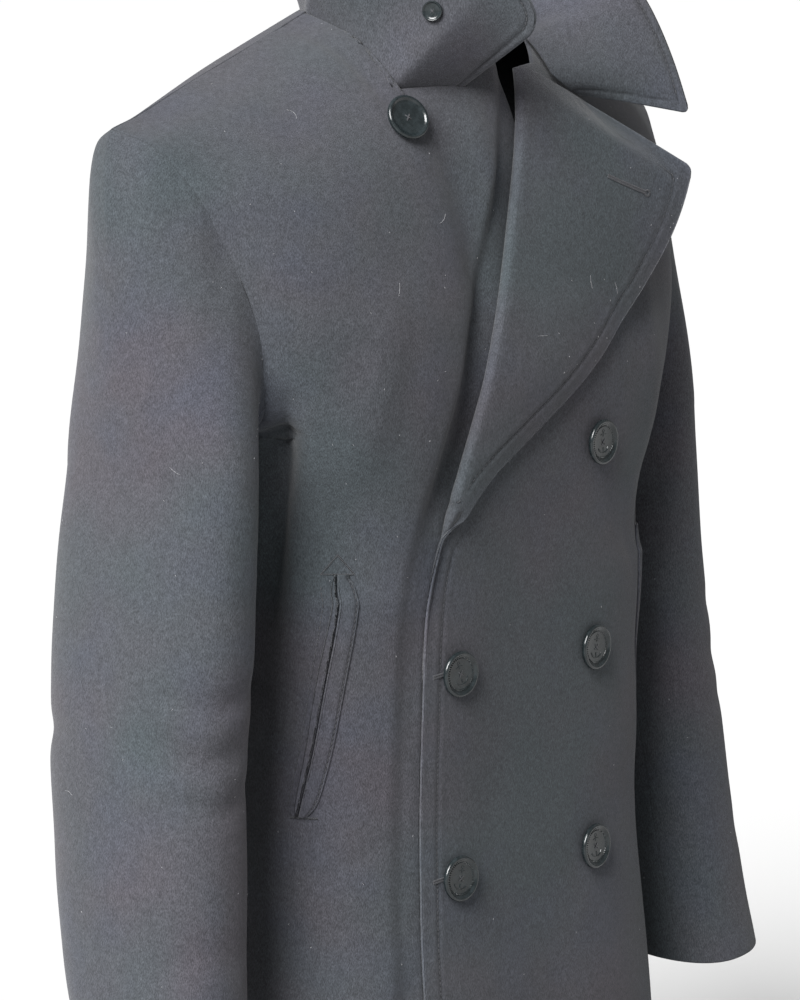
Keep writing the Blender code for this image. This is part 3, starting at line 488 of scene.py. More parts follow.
@lru_cache(None)
def left_mid():
    """Middle of the wall of the left front with its lapel: panel, fold and lapel in one grid, and where the lapel begins."""
    rows = levels(1.0)
    lift = FOLD_RADIUS * ease((rows - TURN_FROM) / (TURN_TO - TURN_FROM))
    columns = 1 - (1 - np.linspace(0, 1, 110)) ** 1.3
    outer, level, edge_level = panel(FRONT, 1, LEFT_TOP, ROLL, columns, rows, lift)
    drawn = creases(outer, LEFT_CREASES) + slack(outer, 4)
    covered = ease((level + 0.30) / 0.03) * ease((0.13 - outer[..., 0]) / 0.03)
    grid = outer - outward(outer) * (HALF + drawn * (1 - covered) + side_fold(outer))[..., None]
    fold, lapel, width = lapel_rows(grid[:, -1], edge_level)
    strip = np.concatenate([fold, lapel], axis=1)
    turned = ease((edge_level - TURN_FROM) / (TURN_TO - TURN_FROM))
    along = np.linspace(0, 1, strip.shape[1])[None, :]
    reach = (0.0006 + np.maximum(width, 0.004) * turned)[:, None] * along
    full = np.pi * turned[:, None]
    angle = np.minimum(reach / FOLD_RADIUS, full)
    rest = np.maximum(reach - FOLD_RADIUS * full, 0)
    out = FOLD_RADIUS * (1 - np.cos(angle)) + rest * np.sin(full)
    run = FOLD_RADIUS * np.sin(angle) + rest * np.cos(full)
    turning = grid[:, -1][:, None] + np.stack([-run, -out, 0 * run], axis=-1)
    blend = ease((edge_level - TURN_TO) / 0.020)[:, None, None]
    strip = turning + (strip - turning) * blend
    return np.concatenate([grid, strip[:, 1:]], axis=1), grid.shape[1]


def inward_at(line):
    """Directions toward the middle of the neck, level and one long."""
    return unit((np.array([0.0, 0.015, 0.0]) - line) * (1, 1, 0))


@lru_cache(None)
def collar_mid():
    """Middle of the wall of the popped collar: straight lines from the neck edge to the free edge, bowed outward."""
    right_top = right_mid()[-1][::-1]
    left_all, first_lapel = left_mid()
    left_top = left_all[-1, :first_lapel]
    lapel_top = left_all[-1, first_lapel + 8:]
    right = right_top[(right_top[:, 0] < -0.025) & (right_top[:, 0] > -0.0775)]
    back_right = back_mid(-1)[-1]
    back_left = back_mid(1)[-1]
    back_right = back_right[np.abs(back_right[:, 0]) < 0.070]
    back_left = back_left[np.abs(back_left[:, 0]) < 0.070][::-1]
    left = left_top[(left_top[:, 0] < 0.0775) & (left_top[:, 0] > 0.060)]
    gorge = lapel_top[(lapel_top[:, 0] > 0.060) & (lapel_top[:, 0] < 0.082)]
    line = np.concatenate([right, back_right, back_left, left, gorge])
    shares = np.linspace(0, 1, 34)
    base = resample(line, shares)
    base = base + inward_at(base) * 0.0020
    lift = -0.0010 + 0.0044 * ease((shares - 0.76) / 0.06) + 0.0045 * np.exp(-(((shares - 0.90) / 0.04) ** 2))
    base[:, 2] = base[:, 2] + lift
    fine = np.linspace(0, 1, 240)
    base = np.stack([smooth_between(fine, shares, base[:, k]) for k in range(3)], axis=-1)
    edge = np.stack([read(COLLAR, COLLAR_COLUMNS, n, fine) for n in ("x", "y", "z")], axis=-1)
    bow = read(COLLAR, COLLAR_COLUMNS, "bow", fine)
    v = 1 - (1 - np.linspace(0, 1, 44)) ** 1.25
    grid = base[None] + (edge - base)[None] * v[:, None, None]
    out = unit(base * (1, 1, 0) - (0, 0.02, 0))
    grid = grid + out[None] * (bow[None] * np.sin(np.pi * v)[:, None])[..., None]
    return grid


# ---------------------------------------------------------------- sleeves

SLEEVE_CREASES = (
    (((0.10, -0.395), (0.22, -0.402), (0.33, -0.392)), 0.0024, 0.009),
    (((0.06, -0.425), (0.20, -0.436), (0.30, -0.428)), 0.0032, 0.010),
    (((0.12, -0.458), (0.24, -0.466), (0.34, -0.452)), 0.0022, 0.008),
    (((0.88, -0.300), (0.96, -0.312), (1.06, -0.306)), 0.0010, 0.012),
    (((0.70, -0.415), (0.80, -0.430), (0.92, -0.426)), 0.0022, 0.010),
    (((0.30, -0.300), (0.36, -0.330), (0.40, -0.372)), 0.0030, 0.010),
    (((0.08, -0.560), (0.20, -0.552), (0.30, -0.560)), 0.0018, 0.012),
    (((0.20, -0.250), (0.28, -0.300), (0.30, -0.345)), -0.0014, 0.012),
)


def armhole_ring(side):
    """The armhole as a closed line: top, front, underarm, back and top again."""
    at = np.concatenate([np.linspace(0, CHEST_Z, 60), np.linspace(CHEST_Z, -0.248, 70)[1:]])
    front, back = (
        np.stack([read(table, BODY_COLUMNS, n, at) for n in ("side_x", "side_y", "side_z")], axis=-1)
        for table in (FRONT, BACK)
    )
    return np.concatenate([front, back[::-1][1:]]) * (side, 1, 1)


def sleeve_section(side, z, turn):
    """A sleeve section: a superellipse about (x, y) of the table, tipped toward the cuff."""
    zs = column(SLEEVE, SLEEVE_COLUMNS, "z")[::-1]
    word = "left_" if side > 0 else "right_"
    centre_x, centre_y, half_x, half_y = (
        smooth_between(np.asarray(z, float), zs, column(SLEEVE, SLEEVE_COLUMNS, n)[::-1])
        for n in (word + "x", word + "y", "half_x", "half_y")
    )
    power = 2 / SLEEVE_SQUARE
    out = np.sign(np.cos(turn)) * np.abs(np.cos(turn)) ** power
    fore = np.sign(np.sin(turn)) * np.abs(np.sin(turn)) ** power
    tilt = 0.006 * ease((-0.50 - z) / 0.13)
    x = side * (centre_x + (half_x - HALF) * out)
    return np.stack([x, centre_y - (half_y - HALF) * fore, z + tilt * (out - fore)], axis=-1)


@lru_cache(None)
def sleeve_rings(side):
    """Rings from armhole to cuff. Over the head each point follows a cubic from the armhole, outward and down, to the first section."""
    shares = np.linspace(0, 1, 28 * 6 + 1)
    turn = np.linspace(0, 2 * np.pi, 385)
    hole = resample(armhole_ring(side), shares)
    first = resample(sleeve_section(side, SLEEVE[0][0], turn), shares)
    top = ((1 + np.cos(2 * np.pi * shares)) / 2)[:, None]
    under = 1 - top
    hole[:, 0] = hole[:, 0] + side * (0.0004 + 0.0018 * under[:, 0] ** 6)
    reach = np.linalg.norm(first - hole, axis=1)[:, None]
    start = np.array([side * 0.55, 0, -0.84]) * top + np.array([side * 0.25, 0, -0.95]) * under
    start = start * reach * (0.40 * top + 0.30 * under)
    finish = np.array([0.0, 0.0, -0.80]) * reach
    v = np.linspace(0, 1, 44)[:, None, None]
    head = hole * (1 + 2 * v) * (1 - v) ** 2 + first * v * v * (3 - 2 * v)
    head = head + start * v * (1 - v) ** 2 - finish * v * v * (1 - v)
    arm = [resample(sleeve_section(side, z, turn), shares) for z in np.linspace(SLEEVE[0][0], SLEEVE[-1][0], 100)[1:]]
    rings = np.concatenate([head, np.stack(arm)])
    normal = outward(rings - rings[:, :-1].mean(axis=1, keepdims=True) * (1, 1, 0))
    at = np.stack([np.broadcast_to(shares * 0.42, rings.shape[:2]), rings[..., 2]], axis=-1)
    drawn = slack(rings, 8 + side, 0.0009)
    strength = 0.4 if side > 0 else 1.0
    for line, depth, width in SLEEVE_CREASES:
        for wrap in (-1, 0, 1):
            away, along = from_line(at, np.array(line) * (0.42, 1) + (0.42 * wrap, 0), (0, 1))
            fade = np.sin(np.pi * np.clip(along, 0.02, 0.98)) ** 0.6
            drawn = drawn + strength * depth * np.exp(-((away / width) ** 2)) * fade
    drawn = drawn * ease(np.arange(len(rings)) / 16)[:, None] * ease((len(rings) - np.arange(len(rings))) / 12)[:, None]
    return rings - normal * drawn[..., None]


def meet_armhole(grid, side):
    """A panel whose armhole edge is moved onto the sleeve's first ring, the shift fading out within 18 mm."""
    ring = sleeve_rings(side)[0]
    edge = grid[:, 0]
    nearest = ring[np.argmin(((edge[:, None] - ring[None]) ** 2).sum(axis=-1), axis=1)]
    shift = (nearest - edge) * ease((edge[:, 2:] + 0.252) / 0.004)
    away = np.linalg.norm(grid - edge[:, None], axis=-1)[..., None]
    return grid + shift[:, None] * ease(1 - away / 0.018)


# ---------------------------------------------------------------- shells

def rim_lines(grid, seamed):
    """Three lines beside each end of a grid's rows, so the wall can round off there.

    A plain edge is a half circle: lines at HALF (1 - cos a) with the wall at
    sin a of its full depth. A seamed edge shows its two plies: the last line
    lies sunk between them.
    """
    spans = ((0.0004, 0.0), (0.0, 0.45), (0.0002, 0.80), (0.0011, 1.0))
    plain = ((0.0, 0.0), (HALF * 0.134, 0.50), (HALF * 0.5, 0.866), (HALF, 1.0))

    def lines(edge, inner, kind):
        toward = unit(inner - edge)
        return [edge + toward * d for d, _ in kind], [w for _, w in kind]

    first, first_w = lines(grid[0], grid[1], spans if seamed[0] else plain)
    last, last_w = lines(grid[-1], grid[-2], spans if seamed[1] else plain)
    full = np.concatenate([np.stack(first), grid[1:-1], np.stack(last)[::-1]])
    return full, np.concatenate([first_w, np.ones(len(grid) - 2), last_w[::-1]])


def lap(grid, rows, columns):
    """A grid carried on past its seams by SEAM_LAP, so that no light passes between two pieces."""
    grid = grid.copy()
    for edge, inner, wanted in ((0, 1, rows[0]), (-1, -2, rows[1])):
        if wanted:
            grid[edge] = grid[edge] - unit(grid[inner] - grid[edge]) * SEAM_LAP
    for edge, inner, wanted in ((0, 1, columns[0]), (-1, -2, columns[1])):
        if wanted:
            grid[:, edge] = grid[:, edge] - unit(grid[:, inner] - grid[:, edge]) * SEAM_LAP
    return grid


def round_corner(grid, row_end, column_end, radius):
    """Round one corner of a grid: with p and q running to 1 at the two edges, both are scaled by max(p, q) / hypot(p, q)."""
    rows = grid[::-1] if row_end else grid
    part = rows[:, ::-1] if column_end else rows
    along_rows = np.concatenate([np.zeros((1, part.shape[1])), np.cumsum(np.linalg.norm(np.diff(part, axis=0), axis=-1), axis=0)])
    along_columns = np.concatenate([np.zeros((part.shape[0], 1)), np.cumsum(np.linalg.norm(np.diff(part, axis=1), axis=-1), axis=1)], axis=1)
    p = np.clip(1 - along_rows / radius, 0, 1)
    q = np.clip(1 - along_columns / radius, 0, 1)
    scale = np.where((p > 0) & (q > 0), np.maximum(p, q) / (np.hypot(p, q) + 1e-12), 1)
    down = unit(part[6, 0] - part[0, 0])
    across = unit(part[0, 6] - part[0, 0])
    part = part + down * (p * (1 - scale) * radius)[..., None] + across * (q * (1 - scale) * radius)[..., None]
    rows = part[:, ::-1] if column_end else part
    return rows[::-1] if row_end else rows


def new_object(name, points, faces, slot, *finishes):
    """A smooth mesh object at the origin that rides with the coat."""
    mesh = bpy.data.meshes.new(name)
    mesh.from_pydata(points.tolist(), [], faces)
    mesh.shade_smooth()
    for finish in finishes:
        mesh.materials.append(finish)
    piece = bpy.data.objects.new(name, mesh)
    bpy.context.scene.collection.objects.link(piece)
    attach(piece, BODY)
    return piece


def write_values(piece, name, values):
    """Store one number for each vertex, for the material to read."""
    attribute = piece.data.attributes.new(name, "FLOAT", "POINT")
    attribute.data.foreach_set("value", np.asarray(values, np.float32).ravel())


def shell(name, mid, normal, seamed=((False, False), (False, False)), puff=None, replaces=(), stitch=None,
          half=HALF, edge=None):
    """A closed sheet of cloth: the middle surface moved out and in by half its thickness, rounded along its edges.

    puff is added to the half thickness on both faces. stitch and edge are
    distances from the topstitching and from the nearest edge, which the
    material reads.
    """
    rows, columns = mid.shape[:2]
    extra = np.stack([
        np.zeros((rows, columns)) if puff is None else puff,
        np.full((rows, columns), 0.03) if stitch is None else stitch,
        np.full((rows, columns), 0.03) if edge is None else edge,
    ], axis=-1)
    packed = np.concatenate([mid, normal, extra], axis=-1)

    def widen(block, kind):
        points, weight = rim_lines(block[..., :3], kind)
        rest = np.concatenate([np.repeat(block[:1, :, 3:], 4, axis=0), block[1:-1, :, 3:], np.repeat(block[-1:, :, 3:], 4, axis=0)])
        return np.concatenate([points, rest], axis=-1), weight

    packed, row_weight = widen(packed, seamed[0])
    packed, column_weight = widen(packed.swapaxes(0, 1), seamed[1])
    packed = packed.swapaxes(0, 1)
    mid, normal, puff, stitch, edge = packed[..., :3], packed[..., 3:6], packed[..., 6], packed[..., 7], packed[..., 8]
    weight = (row_weight[:, None] * column_weight[None, :])[..., None]
    outer = mid + normal * (half + puff[..., None]) * weight
    inner = (mid - normal * (half + puff[..., None]) * weight)[1:-1, 1:-1]
    rows, columns = mid.shape[:2]
    front = np.arange(rows * columns).reshape(rows, columns)
    back = front.copy()
    back[1:-1, 1:-1] = rows * columns + np.arange((rows - 2) * (columns - 2)).reshape(rows - 2, columns - 2)

    def quads(index):
        return np.stack([index[:-1, :-1], index[1:, :-1], index[1:, 1:], index[:-1, 1:]], axis=-1).reshape(-1, 4)

    faces = quads(front)
    a, b, c = (outer[rows // 2, columns // 2], outer[rows // 2 + 1, columns // 2], outer[rows // 2, columns // 2 + 1])
    if np.cross(b - a, c - a) @ normal[rows // 2, columns // 2] < 0:
        faces = faces[:, ::-1]
        other = quads(back)
    else:
        other = quads(back)[:, ::-1]
    points = np.concatenate([outer.reshape(-1, 3), inner.reshape(-1, 3)])
    piece = new_object(name, points, np.concatenate([faces, other]).tolist(), MELTON_SLOT, melton())
    for word, values in (("stitch", stitch), ("edge", edge)):
        write_values(piece, word, np.concatenate([values.ravel(), values[1:-1, 1:-1].ravel()]))
    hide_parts(*replaces)
    return piece


# ---------------------------------------------------------------- finished sheets

def free_edge(grid, line):
    """Distance of each point of a grid from a line, read through every fourth point of it."""
    away, _ = from_line(grid, np.concatenate([line[::4], line[-1:]]))
    return away


@lru_cache(None)
def left_front():
    """Middle, normals and distance from the free edge of the left front with its lapel."""
    mid, first = left_mid()
    normal = grid_normals(mid)
    if normal[60, 40, 1] > 0:
        normal = -normal
    mid = round_corner(mid, True, True, 0.006)
    notch = first + 8 + np.argmin(np.abs(mid[-1, first + 8:, 0] - NOTCH[0]))
    away = free_edge(mid, np.concatenate([mid[:, -1], mid[-1, notch:][::-1]]))
    away[:, :first] += 0.05 * ease((levels(1.0) - TURN_TO - 0.004) / 0.012)[:, None]
    return mid, normal, away


@lru_cache(None)
def collar_sheet():
    """Middle, normals and distance from the free edges of the collar."""
    mid = round_corner(collar_mid(), True, True, 0.006)
    mid = round_corner(mid, True, False, 0.012)
    return mid, outward(mid), free_edge(mid, np.concatenate([mid[:, 0], mid[-1], mid[::-1, -1]]))


@lru_cache(None)
def sleeve_normals(side):
    """Outward normals of a sleeve's rings."""
    rings = sleeve_rings(side)
    wrapped = np.concatenate([rings[:, -2:-1], rings, rings[:, 1:2]], axis=1)
    normal = grid_normals(wrapped)[:, 1:-1]
    away = rings - rings.mean(axis=1, keepdims=True)
    return normal if (normal * away).sum() > 0 else -normal


@lru_cache(None)
def pocket_strips(side):
    """Outer face of a front under the welt and under the lip: lines from the opening outward."""
    front = right_mid() if side < 0 else left_mid()[0][:, :100]
    front = (front + outward(front) * HALF)[:110]
    z = np.linspace(POCKET[0][0], POCKET[-1][0], 70)
    zs = column(POCKET, POCKET_COLUMNS, "z")[::-1]
    opening, wide, lip = (smooth_between(z, zs, column(POCKET, POCKET_COLUMNS, n)[::-1]) for n in POCKET_COLUMNS[1:])
    ends = np.sqrt(np.clip(1 - np.linspace(-1, 1, 70) ** 14, 0.35, 1))
    heights = front[:, 0, 2]
    k = np.clip(np.searchsorted(heights, z) - 1, 0, len(heights) - 2)
    t = ((z - heights[k]) / (heights[k + 1] - heights[k]))[:, None, None]
    rows = front[k] + (front[k + 1] - front[k]) * t
    length = np.concatenate([np.zeros((70, 1)), np.cumsum(np.linalg.norm(np.diff(rows, axis=1), axis=-1), axis=1)], axis=1)
    strips = []
    for near, far in ((WELT_GAP, wide * ends), (-WELT_GAP, -lip * ends)):
        strip = np.empty((70, 16, 3))
        for row in range(70):
            at = np.interp(-opening[row], -np.abs(rows[row, :, 0]), length[row])
            walk = at + near + (far[row] - near) * np.linspace(0, 1, 16)
            strip[row] = np.stack([np.interp(walk, length[row], rows[row, :, axis]) for axis in range(3)], axis=-1)
        strips.append(strip)
    return strips


def small_button_place():
    """Where the collar's button sits: the middle of a patch of the solid's coarser grid."""
    fine = collar_mid()
    shares = np.linspace(0, 1, 240)
    at = np.argmin(np.abs(shares - 5 / 33))
    v = 1 - (1 - np.linspace(0, 1, 44)) ** 1.25
    row = np.argmin(np.abs(v - 0.5))
    return fine[row, at] + outward(fine)[row, at] * HALF, outward(fine)[row, at]


# ---------------------------------------------------------------- materials

def node(tree, kind, values=(), **settings):
    """A shader node with its properties, and its socket values by name."""
    made = tree.nodes.new(kind)
    for name, value in settings.items():
        setattr(made, name, value)
    for name, value in dict(values).items():
        made.inputs[name].default_value = value
    return made


def new_finish(name, colour, roughness):
    """A material, its tree, its shader and the object's own coordinates."""
    finish = bpy.data.materials.new(name)
    finish.use_nodes = True
    tree = finish.node_tree
    shader = tree.nodes["Principled BSDF"]
    shader.inputs["Base Color"].default_value = (*colour, 1)
    shader.inputs["Roughness"].default_value = roughness
    place = node(tree, "ShaderNodeTexCoord").outputs["Object"]
    return finish, tree, shader, place


def noise(tree, place, scale, detail=3.0, roughness=0.6):
    """Noise of the given number of waves a metre."""
    made = node(tree, "ShaderNodeTexNoise", {"Scale": scale, "Detail": detail, "Roughness": roughness})
    tree.links.new(place, made.inputs["Vector"])
    return made.outputs["Fac"]


def spread(tree, value, low, high, new_low, new_high):
    """A value's range moved onto another, held at its ends."""
    made = node(tree, "ShaderNodeMapRange", {"From Min": low, "From Max": high, "To Min": new_low, "To Max": new_high})
    tree.links.new(value, made.inputs["Value"])
    return made.outputs["Result"]


def sums(tree, kind, first, second):
    """Two values added or multiplied."""
    made = node(tree, "ShaderNodeMath", operation=kind)
    for socket, value in zip(made.inputs, (first, second)):
        if isinstance(value, (int, float)):
            socket.default_value = value
        else:
            tree.links.new(value, socket)
    return made.outputs["Value"]


def tint(tree, factor, first, second):
    """Two colours mixed by a value."""
    made = node(tree, "ShaderNodeMix", data_type="RGBA")
    tree.links.new(factor, made.inputs[0])
    for socket, colour in ((made.inputs[6], first), (made.inputs[7], second)):
        if isinstance(colour, tuple):
            socket.default_value = (*colour, 1)
        else:
            tree.links.new(colour, socket)
    return made.outputs[2]


def bump(tree, shader, height, depth):
    """Relief of the given depth in metres."""
    made = node(tree, "ShaderNodeBump", {"Strength": 1.0, "Distance": depth})
    tree.links.new(height, made.inputs["Height"])
    tree.links.new(made.outputs["Normal"], shader.inputs["Normal"])


@lru_cache(None)
def melton():
    """Felted wool: slow tints, mottled nap, pale and dark fibres, painted shade along the stitching grooves and worn
    along the edges.
    """
    colour = tuple(bpy.context.scene.pea_coat.cloth_colour)
    finish, tree, shader, place = new_finish("melton wool", colour, 0.95)
    shader.inputs["Sheen Weight"].default_value = 0.10
    shader.inputs["Sheen Roughness"].default_value = 0.5
    shader.inputs["Specular IOR Level"].default_value = 0.15
    cool = tint(tree, spread(tree, noise(tree, place, 7, 2), 0.35, 0.65, 0, 1),
                tuple(c * f for c, f in zip(colour, (0.90, 1.02, 0.99))), tuple(c * f for c, f in zip(colour, (1.10, 0.98, 1.00))))
    blue = tint(tree, spread(tree, noise(tree, place, 15, 2), 0.48, 0.72, 0, 0.6), cool,
                tuple(c * f for c, f in zip(colour, (0.93, 0.98, 1.12))))
    nap = noise(tree, place, 260, 4, 0.7)
    stretched = node(tree, "ShaderNodeMapping", {"Scale": (1900, 1900, 620), "Rotation": (0.25, 0.35, 0)})
    tree.links.new(place, stretched.inputs["Vector"])
    fibre = noise(tree, stretched.outputs["Vector"], 1.0, 2, 0.6)
    light = sums(tree, "MULTIPLY", spread(tree, nap, 0.3, 0.7, 0.80, 1.20), spread(tree, fibre, 0.35, 0.68, 0.68, 1.42))
    stitch_groove_shade = node(tree, "ShaderNodeAttribute", attribute_name="stitch").outputs["Fac"]
    rim = node(tree, "ShaderNodeAttribute", attribute_name="edge").outputs["Fac"]
    # Painted shade: the cloth colour is darkened to 0.42 within 1.3 mm of the stitching, for the shade in its groove.
    light = sums(tree, "MULTIPLY", light, spread(tree, stitch_groove_shade, 0.0, 0.0013, 0.42, 1))
    light = sums(tree, "MULTIPLY", light, spread(tree, rim, 0.0, 0.0022, 1.22, 1))
    shaded = node(tree, "ShaderNodeMix", data_type="RGBA", blend_type="MULTIPLY")
    shaded.inputs[0].default_value = 1
    tree.links.new(blue, shaded.inputs[6])
    tree.links.new(light, shaded.inputs[7])
    tree.links.new(shaded.outputs[2], shader.inputs["Base Color"])
    tree.links.new(spread(tree, nap, 0.3, 0.7, 0.86, 1.0), shader.inputs["Roughness"])
    bump(tree, shader, sums(tree, "ADD", fibre, sums(tree, "MULTIPLY", nap, 0.7)), 0.00034)
    return finish


@lru_cache(None)
def gloss():
    """Moulded button plastic: nearly black, with a clear coat, fine rubbing and a slight haze."""
    finish, tree, shader, place = new_finish("button plastic", tuple(bpy.context.scene.pea_coat.button_colour), 0.22)
    shader.inputs["Coat Weight"].default_value = 0.3
    shader.inputs["Specular IOR Level"].default_value = 0.3
    shader.inputs["Coat Roughness"].default_value = 0.08
    rub = noise(tree, place, 900, 4)
    tree.links.new(spread(tree, rub, 0.35, 0.7, 0.16, 0.34), shader.inputs["Roughness"])
    tree.links.new(tint(tree, spread(tree, noise(tree, place, 240, 3), 0.4, 0.7, 0, 1), (0.007, 0.010, 0.011),
                        (0.015, 0.020, 0.022)), shader.inputs["Base Color"])
    bump(tree, shader, rub, 0.00002)
    return finish


@lru_cache(None)
def thread(name="sewing thread", colour=(0.020, 0.021, 0.025)):
    """Twisted thread with uneven colour."""
    finish, tree, shader, place = new_finish(name, colour, 0.7)
    shader.inputs["Sheen Weight"].default_value = 0.2
    twist = noise(tree, place, 2600, 2)
    tree.links.new(tint(tree, spread(tree, twist, 0.3, 0.7, 0, 1), tuple(c * 0.6 for c in colour),
                        tuple(min(c * 1.5, 1) for c in colour)), shader.inputs["Base Color"])
    bump(tree, shader, twist, 0.0001)
    return finish


# ---------------------------------------------------------------- sewing and buttons

def near_cloth(grid, normal, points, lift):
    """Points dropped onto a grid: p - n ((p - g) . n) + n lift, with g the nearest grid point and n its normal."""
    flat, ways = grid.reshape(-1, 3), normal.reshape(-1, 3)
    nearest = np.argmin(((flat[None] - points[:, None]) ** 2).sum(axis=-1), axis=1)
    g, n = flat[nearest], ways[nearest]
    return points - n * ((points - g) * n).sum(axis=-1, keepdims=True) + n * lift, n


def capsules(points, along, up, length, radius):
    """Points and faces of round-ended stitches, one at each point: a ring of eight at five places, r = radius (1 - s^4)^(1/2)."""
    s = np.array([-0.96, -0.6, 0.0, 0.6, 0.96])
    a = np.linspace(0, 2 * np.pi, 8, endpoint=False)
    round_at = radius * np.sqrt(1 - s ** 4)
    side = unit(np.cross(along, up))
    up = np.cross(side, along)
    ring = (side[:, None, None] * (round_at[:, None] * np.cos(a))[None, ..., None]
            + up[:, None, None] * (round_at[:, None] * np.sin(a))[None, ..., None])
    body = points[:, None, None] + along[:, None, None] * (s * length / 2)[None, :, None, None] + ring
    ends = points[:, None] + along[:, None] * (np.array([-1, 1]) * length / 2)[None, :, None]
    each = np.concatenate([body.reshape(len(points), -1, 3), ends], axis=1)
    k = np.arange(8)
    n = (k + 1) % 8
    quads = [[i * 8 + k[j], i * 8 + n[j], i * 8 + 8 + n[j], i * 8 + 8 + k[j]] for i in range(4) for j in range(8)]
    caps = [[40, n[j], k[j]] for j in range(8)] + [[41, 32 + k[j], 32 + n[j]] for j in range(8)]
    shift = np.arange(len(points))[:, None, None] * 42
    faces = (np.array(quads)[None] + shift).reshape(-1, 4).tolist() + (np.array(caps)[None] + shift).reshape(-1, 3).tolist()
    return each.reshape(-1, 3), faces


def join(parts):
    """Several sets of points and faces as one."""
    points, faces, start = [], [], 0
    for p, f in parts:
        points.append(p)
        faces.extend([[i + start for i in face] for face in f])
        start += len(p)
    return np.concatenate(points), faces


def run_of_stitches(line, grid, normal, lift, pitch=0.0034, length=0.0026, radius=0.00026):
    """Stitches end to end along a line laid on a cloth."""
    total = np.linalg.norm(np.diff(line, axis=0), axis=1).sum()
    at = resample(line, np.linspace(0, 1, max(int(total / pitch), 2)))
    at, up = near_cloth(grid, normal, at, lift)
    along = unit(np.gradient(at, axis=0))
    return capsules(at, along, up * math.copysign(1, lift), length, radius)


def satin(line, grid, normal, lift, width, pitch=0.0007):
    """Close stitches laid across a line."""
    total = np.linalg.norm(np.diff(line, axis=0), axis=1).sum()
    at = resample(line, np.linspace(0, 1, int(total / pitch)))
    at, up = near_cloth(grid, normal, at, lift)
    along = unit(np.gradient(at, axis=0))
    return capsules(at, unit(np.cross(along, up)), up * math.copysign(1, lift), width, 0.00034)


def offset_line(grid, away, distance, rows=True):
    """Where each row, read from its last column inward, first comes the given distance from the edge."""
    if not rows:
        grid, away = grid.swapaxes(0, 1), away.T
    far = away[:, ::-1] > distance
    k = np.argmax(far, axis=1)
    good = (k > 0) & far.any(axis=1)
    lines = grid[:, ::-1][good]
    values = away[:, ::-1][good]
    k = k[good]
    at = np.arange(len(k))
    t = (distance - values[at, k - 1]) / (values[at, k] - values[at, k - 1] + 1e-12)
    return lines[at, k - 1] + (lines[at, k] - lines[at, k - 1]) * t[:, None], np.flatnonzero(good)


def groove(away, distance, depth=0.00055):
    """How far the cloth sinks at a row of stitching, and swells on both sides of it."""
    off = away - distance
    return -depth * np.exp(-((off / 0.0011) ** 2)) + 0.00022 * np.exp(-(((np.abs(off) - 0.0036) / 0.0022) ** 2))


def keyhole(start, end, grid, normal, lift):
    """A keyhole buttonhole: close stitches along a slit's two sides and round its eye."""
    start, end = np.array(start), np.array(end)
    _, up = near_cloth(grid, normal, (start + end)[None] / 2, lift)
    along = unit(end - start)
    across = np.cross(up[0], along)
    a = np.linspace(-2.5, 2.5, 14)
    eye = end + along * 0.0018 + (np.cos(a)[:, None] * along + np.sin(a)[:, None] * across) * 0.0019
    line = np.concatenate([[start - across * 0.0007, end - across * 0.0007], eye, [end + across * 0.0007, start + across * 0.0007]])
    return satin(line, grid, normal, lift, 0.0015)


def tube(line, radius, sides=8):
    """A round bar along a line, closed by points at its ends."""
    line = np.asarray(line, float)
    along = unit(np.gradient(line, axis=0))
    side = unit(np.cross(along, (0.0123, 0.0456, 1.0)))
    up = np.cross(side, along)
    a = np.linspace(0, 2 * np.pi, sides, endpoint=False)
    ring = line[:, None] + (side[:, None] * np.cos(a)[None, :, None] + up[:, None] * np.sin(a)[None, :, None]) * radius
    ends = np.stack([line[0] - along[0] * radius * 0.6, line[-1] + along[-1] * radius * 0.6])
    k = np.arange(sides)
    n = (k + 1) % sides
    count = len(line)
    faces = [[i * sides + k[j], i * sides + n[j], i * sides + sides + n[j], i * sides + sides + k[j]]
             for i in range(count - 1) for j in range(sides)]
    first, last = count * sides, count * sides + 1
    faces += [[first, n[j], k[j]] for j in range(sides)]
    faces += [[last, (count - 1) * sides + k[j], (count - 1) * sides + n[j]] for j in range(sides)]
    return np.concatenate([ring.reshape(-1, 3), ends]), [[int(i) for i in face] for face in faces]


def turned_button(radius, thick, hole, spread_by):
    """A turned button with a thin rim, a dished face and four holes through it, its back at z = 0."""
    profile = ((0, 0.56), (0.30, 0.56), (0.60, 0.60), (0.74, 0.66), (0.80, 0.74), (0.84, 0.92), (0.88, 0.99), (0.92, 1.0),
               (0.955, 0.94), (0.985, 0.80), (1.0, 0.60), (0.985, 0.40), (0.93, 0.16), (0.80, 0.04), (0.60, 0), (0, 0))
    mesh = bpy.data.meshes.new("turned")
    mesh.from_pydata([(x * radius, 0, z * thick) for x, z in profile], [(i, i + 1) for i in range(len(profile) - 1)], [])
    turned = bpy.data.objects.new("turned", mesh)
    bpy.context.scene.collection.objects.link(turned)
    screw = turned.modifiers.new("turn", "SCREW")
    screw.steps = screw.render_steps = 96
    screw.use_merge_vertices = True
    screw.merge_threshold = 0.00001
    cutters = []
    for i in range(4):
        angle = math.pi / 4 + i * math.pi / 2
        points, faces = tube([(spread_by * math.cos(angle), spread_by * math.sin(angle), z) for z in (-0.01, 0.01)], hole, 20)
        cutter_mesh = bpy.data.meshes.new("cutter")
        cutter_mesh.from_pydata(points.tolist(), [], faces)
        cutter = bpy.data.objects.new("cutter", cutter_mesh)
        bpy.context.scene.collection.objects.link(cutter)
        cutters.append(cutter)
        cut = turned.modifiers.new("hole", "BOOLEAN")
        cut.object = cutter
        cut.solver = "EXACT"
    bpy.context.view_layer.update()
    solid = bpy.data.meshes.new_from_object(turned.evaluated_get(bpy.context.evaluated_depsgraph_get()))
    points = np.array([v.co for v in solid.vertices])
    faces = [list(p.vertices) for p in solid.polygons]
    for made in [turned] + cutters:
        bpy.data.objects.remove(made)
    return points, faces


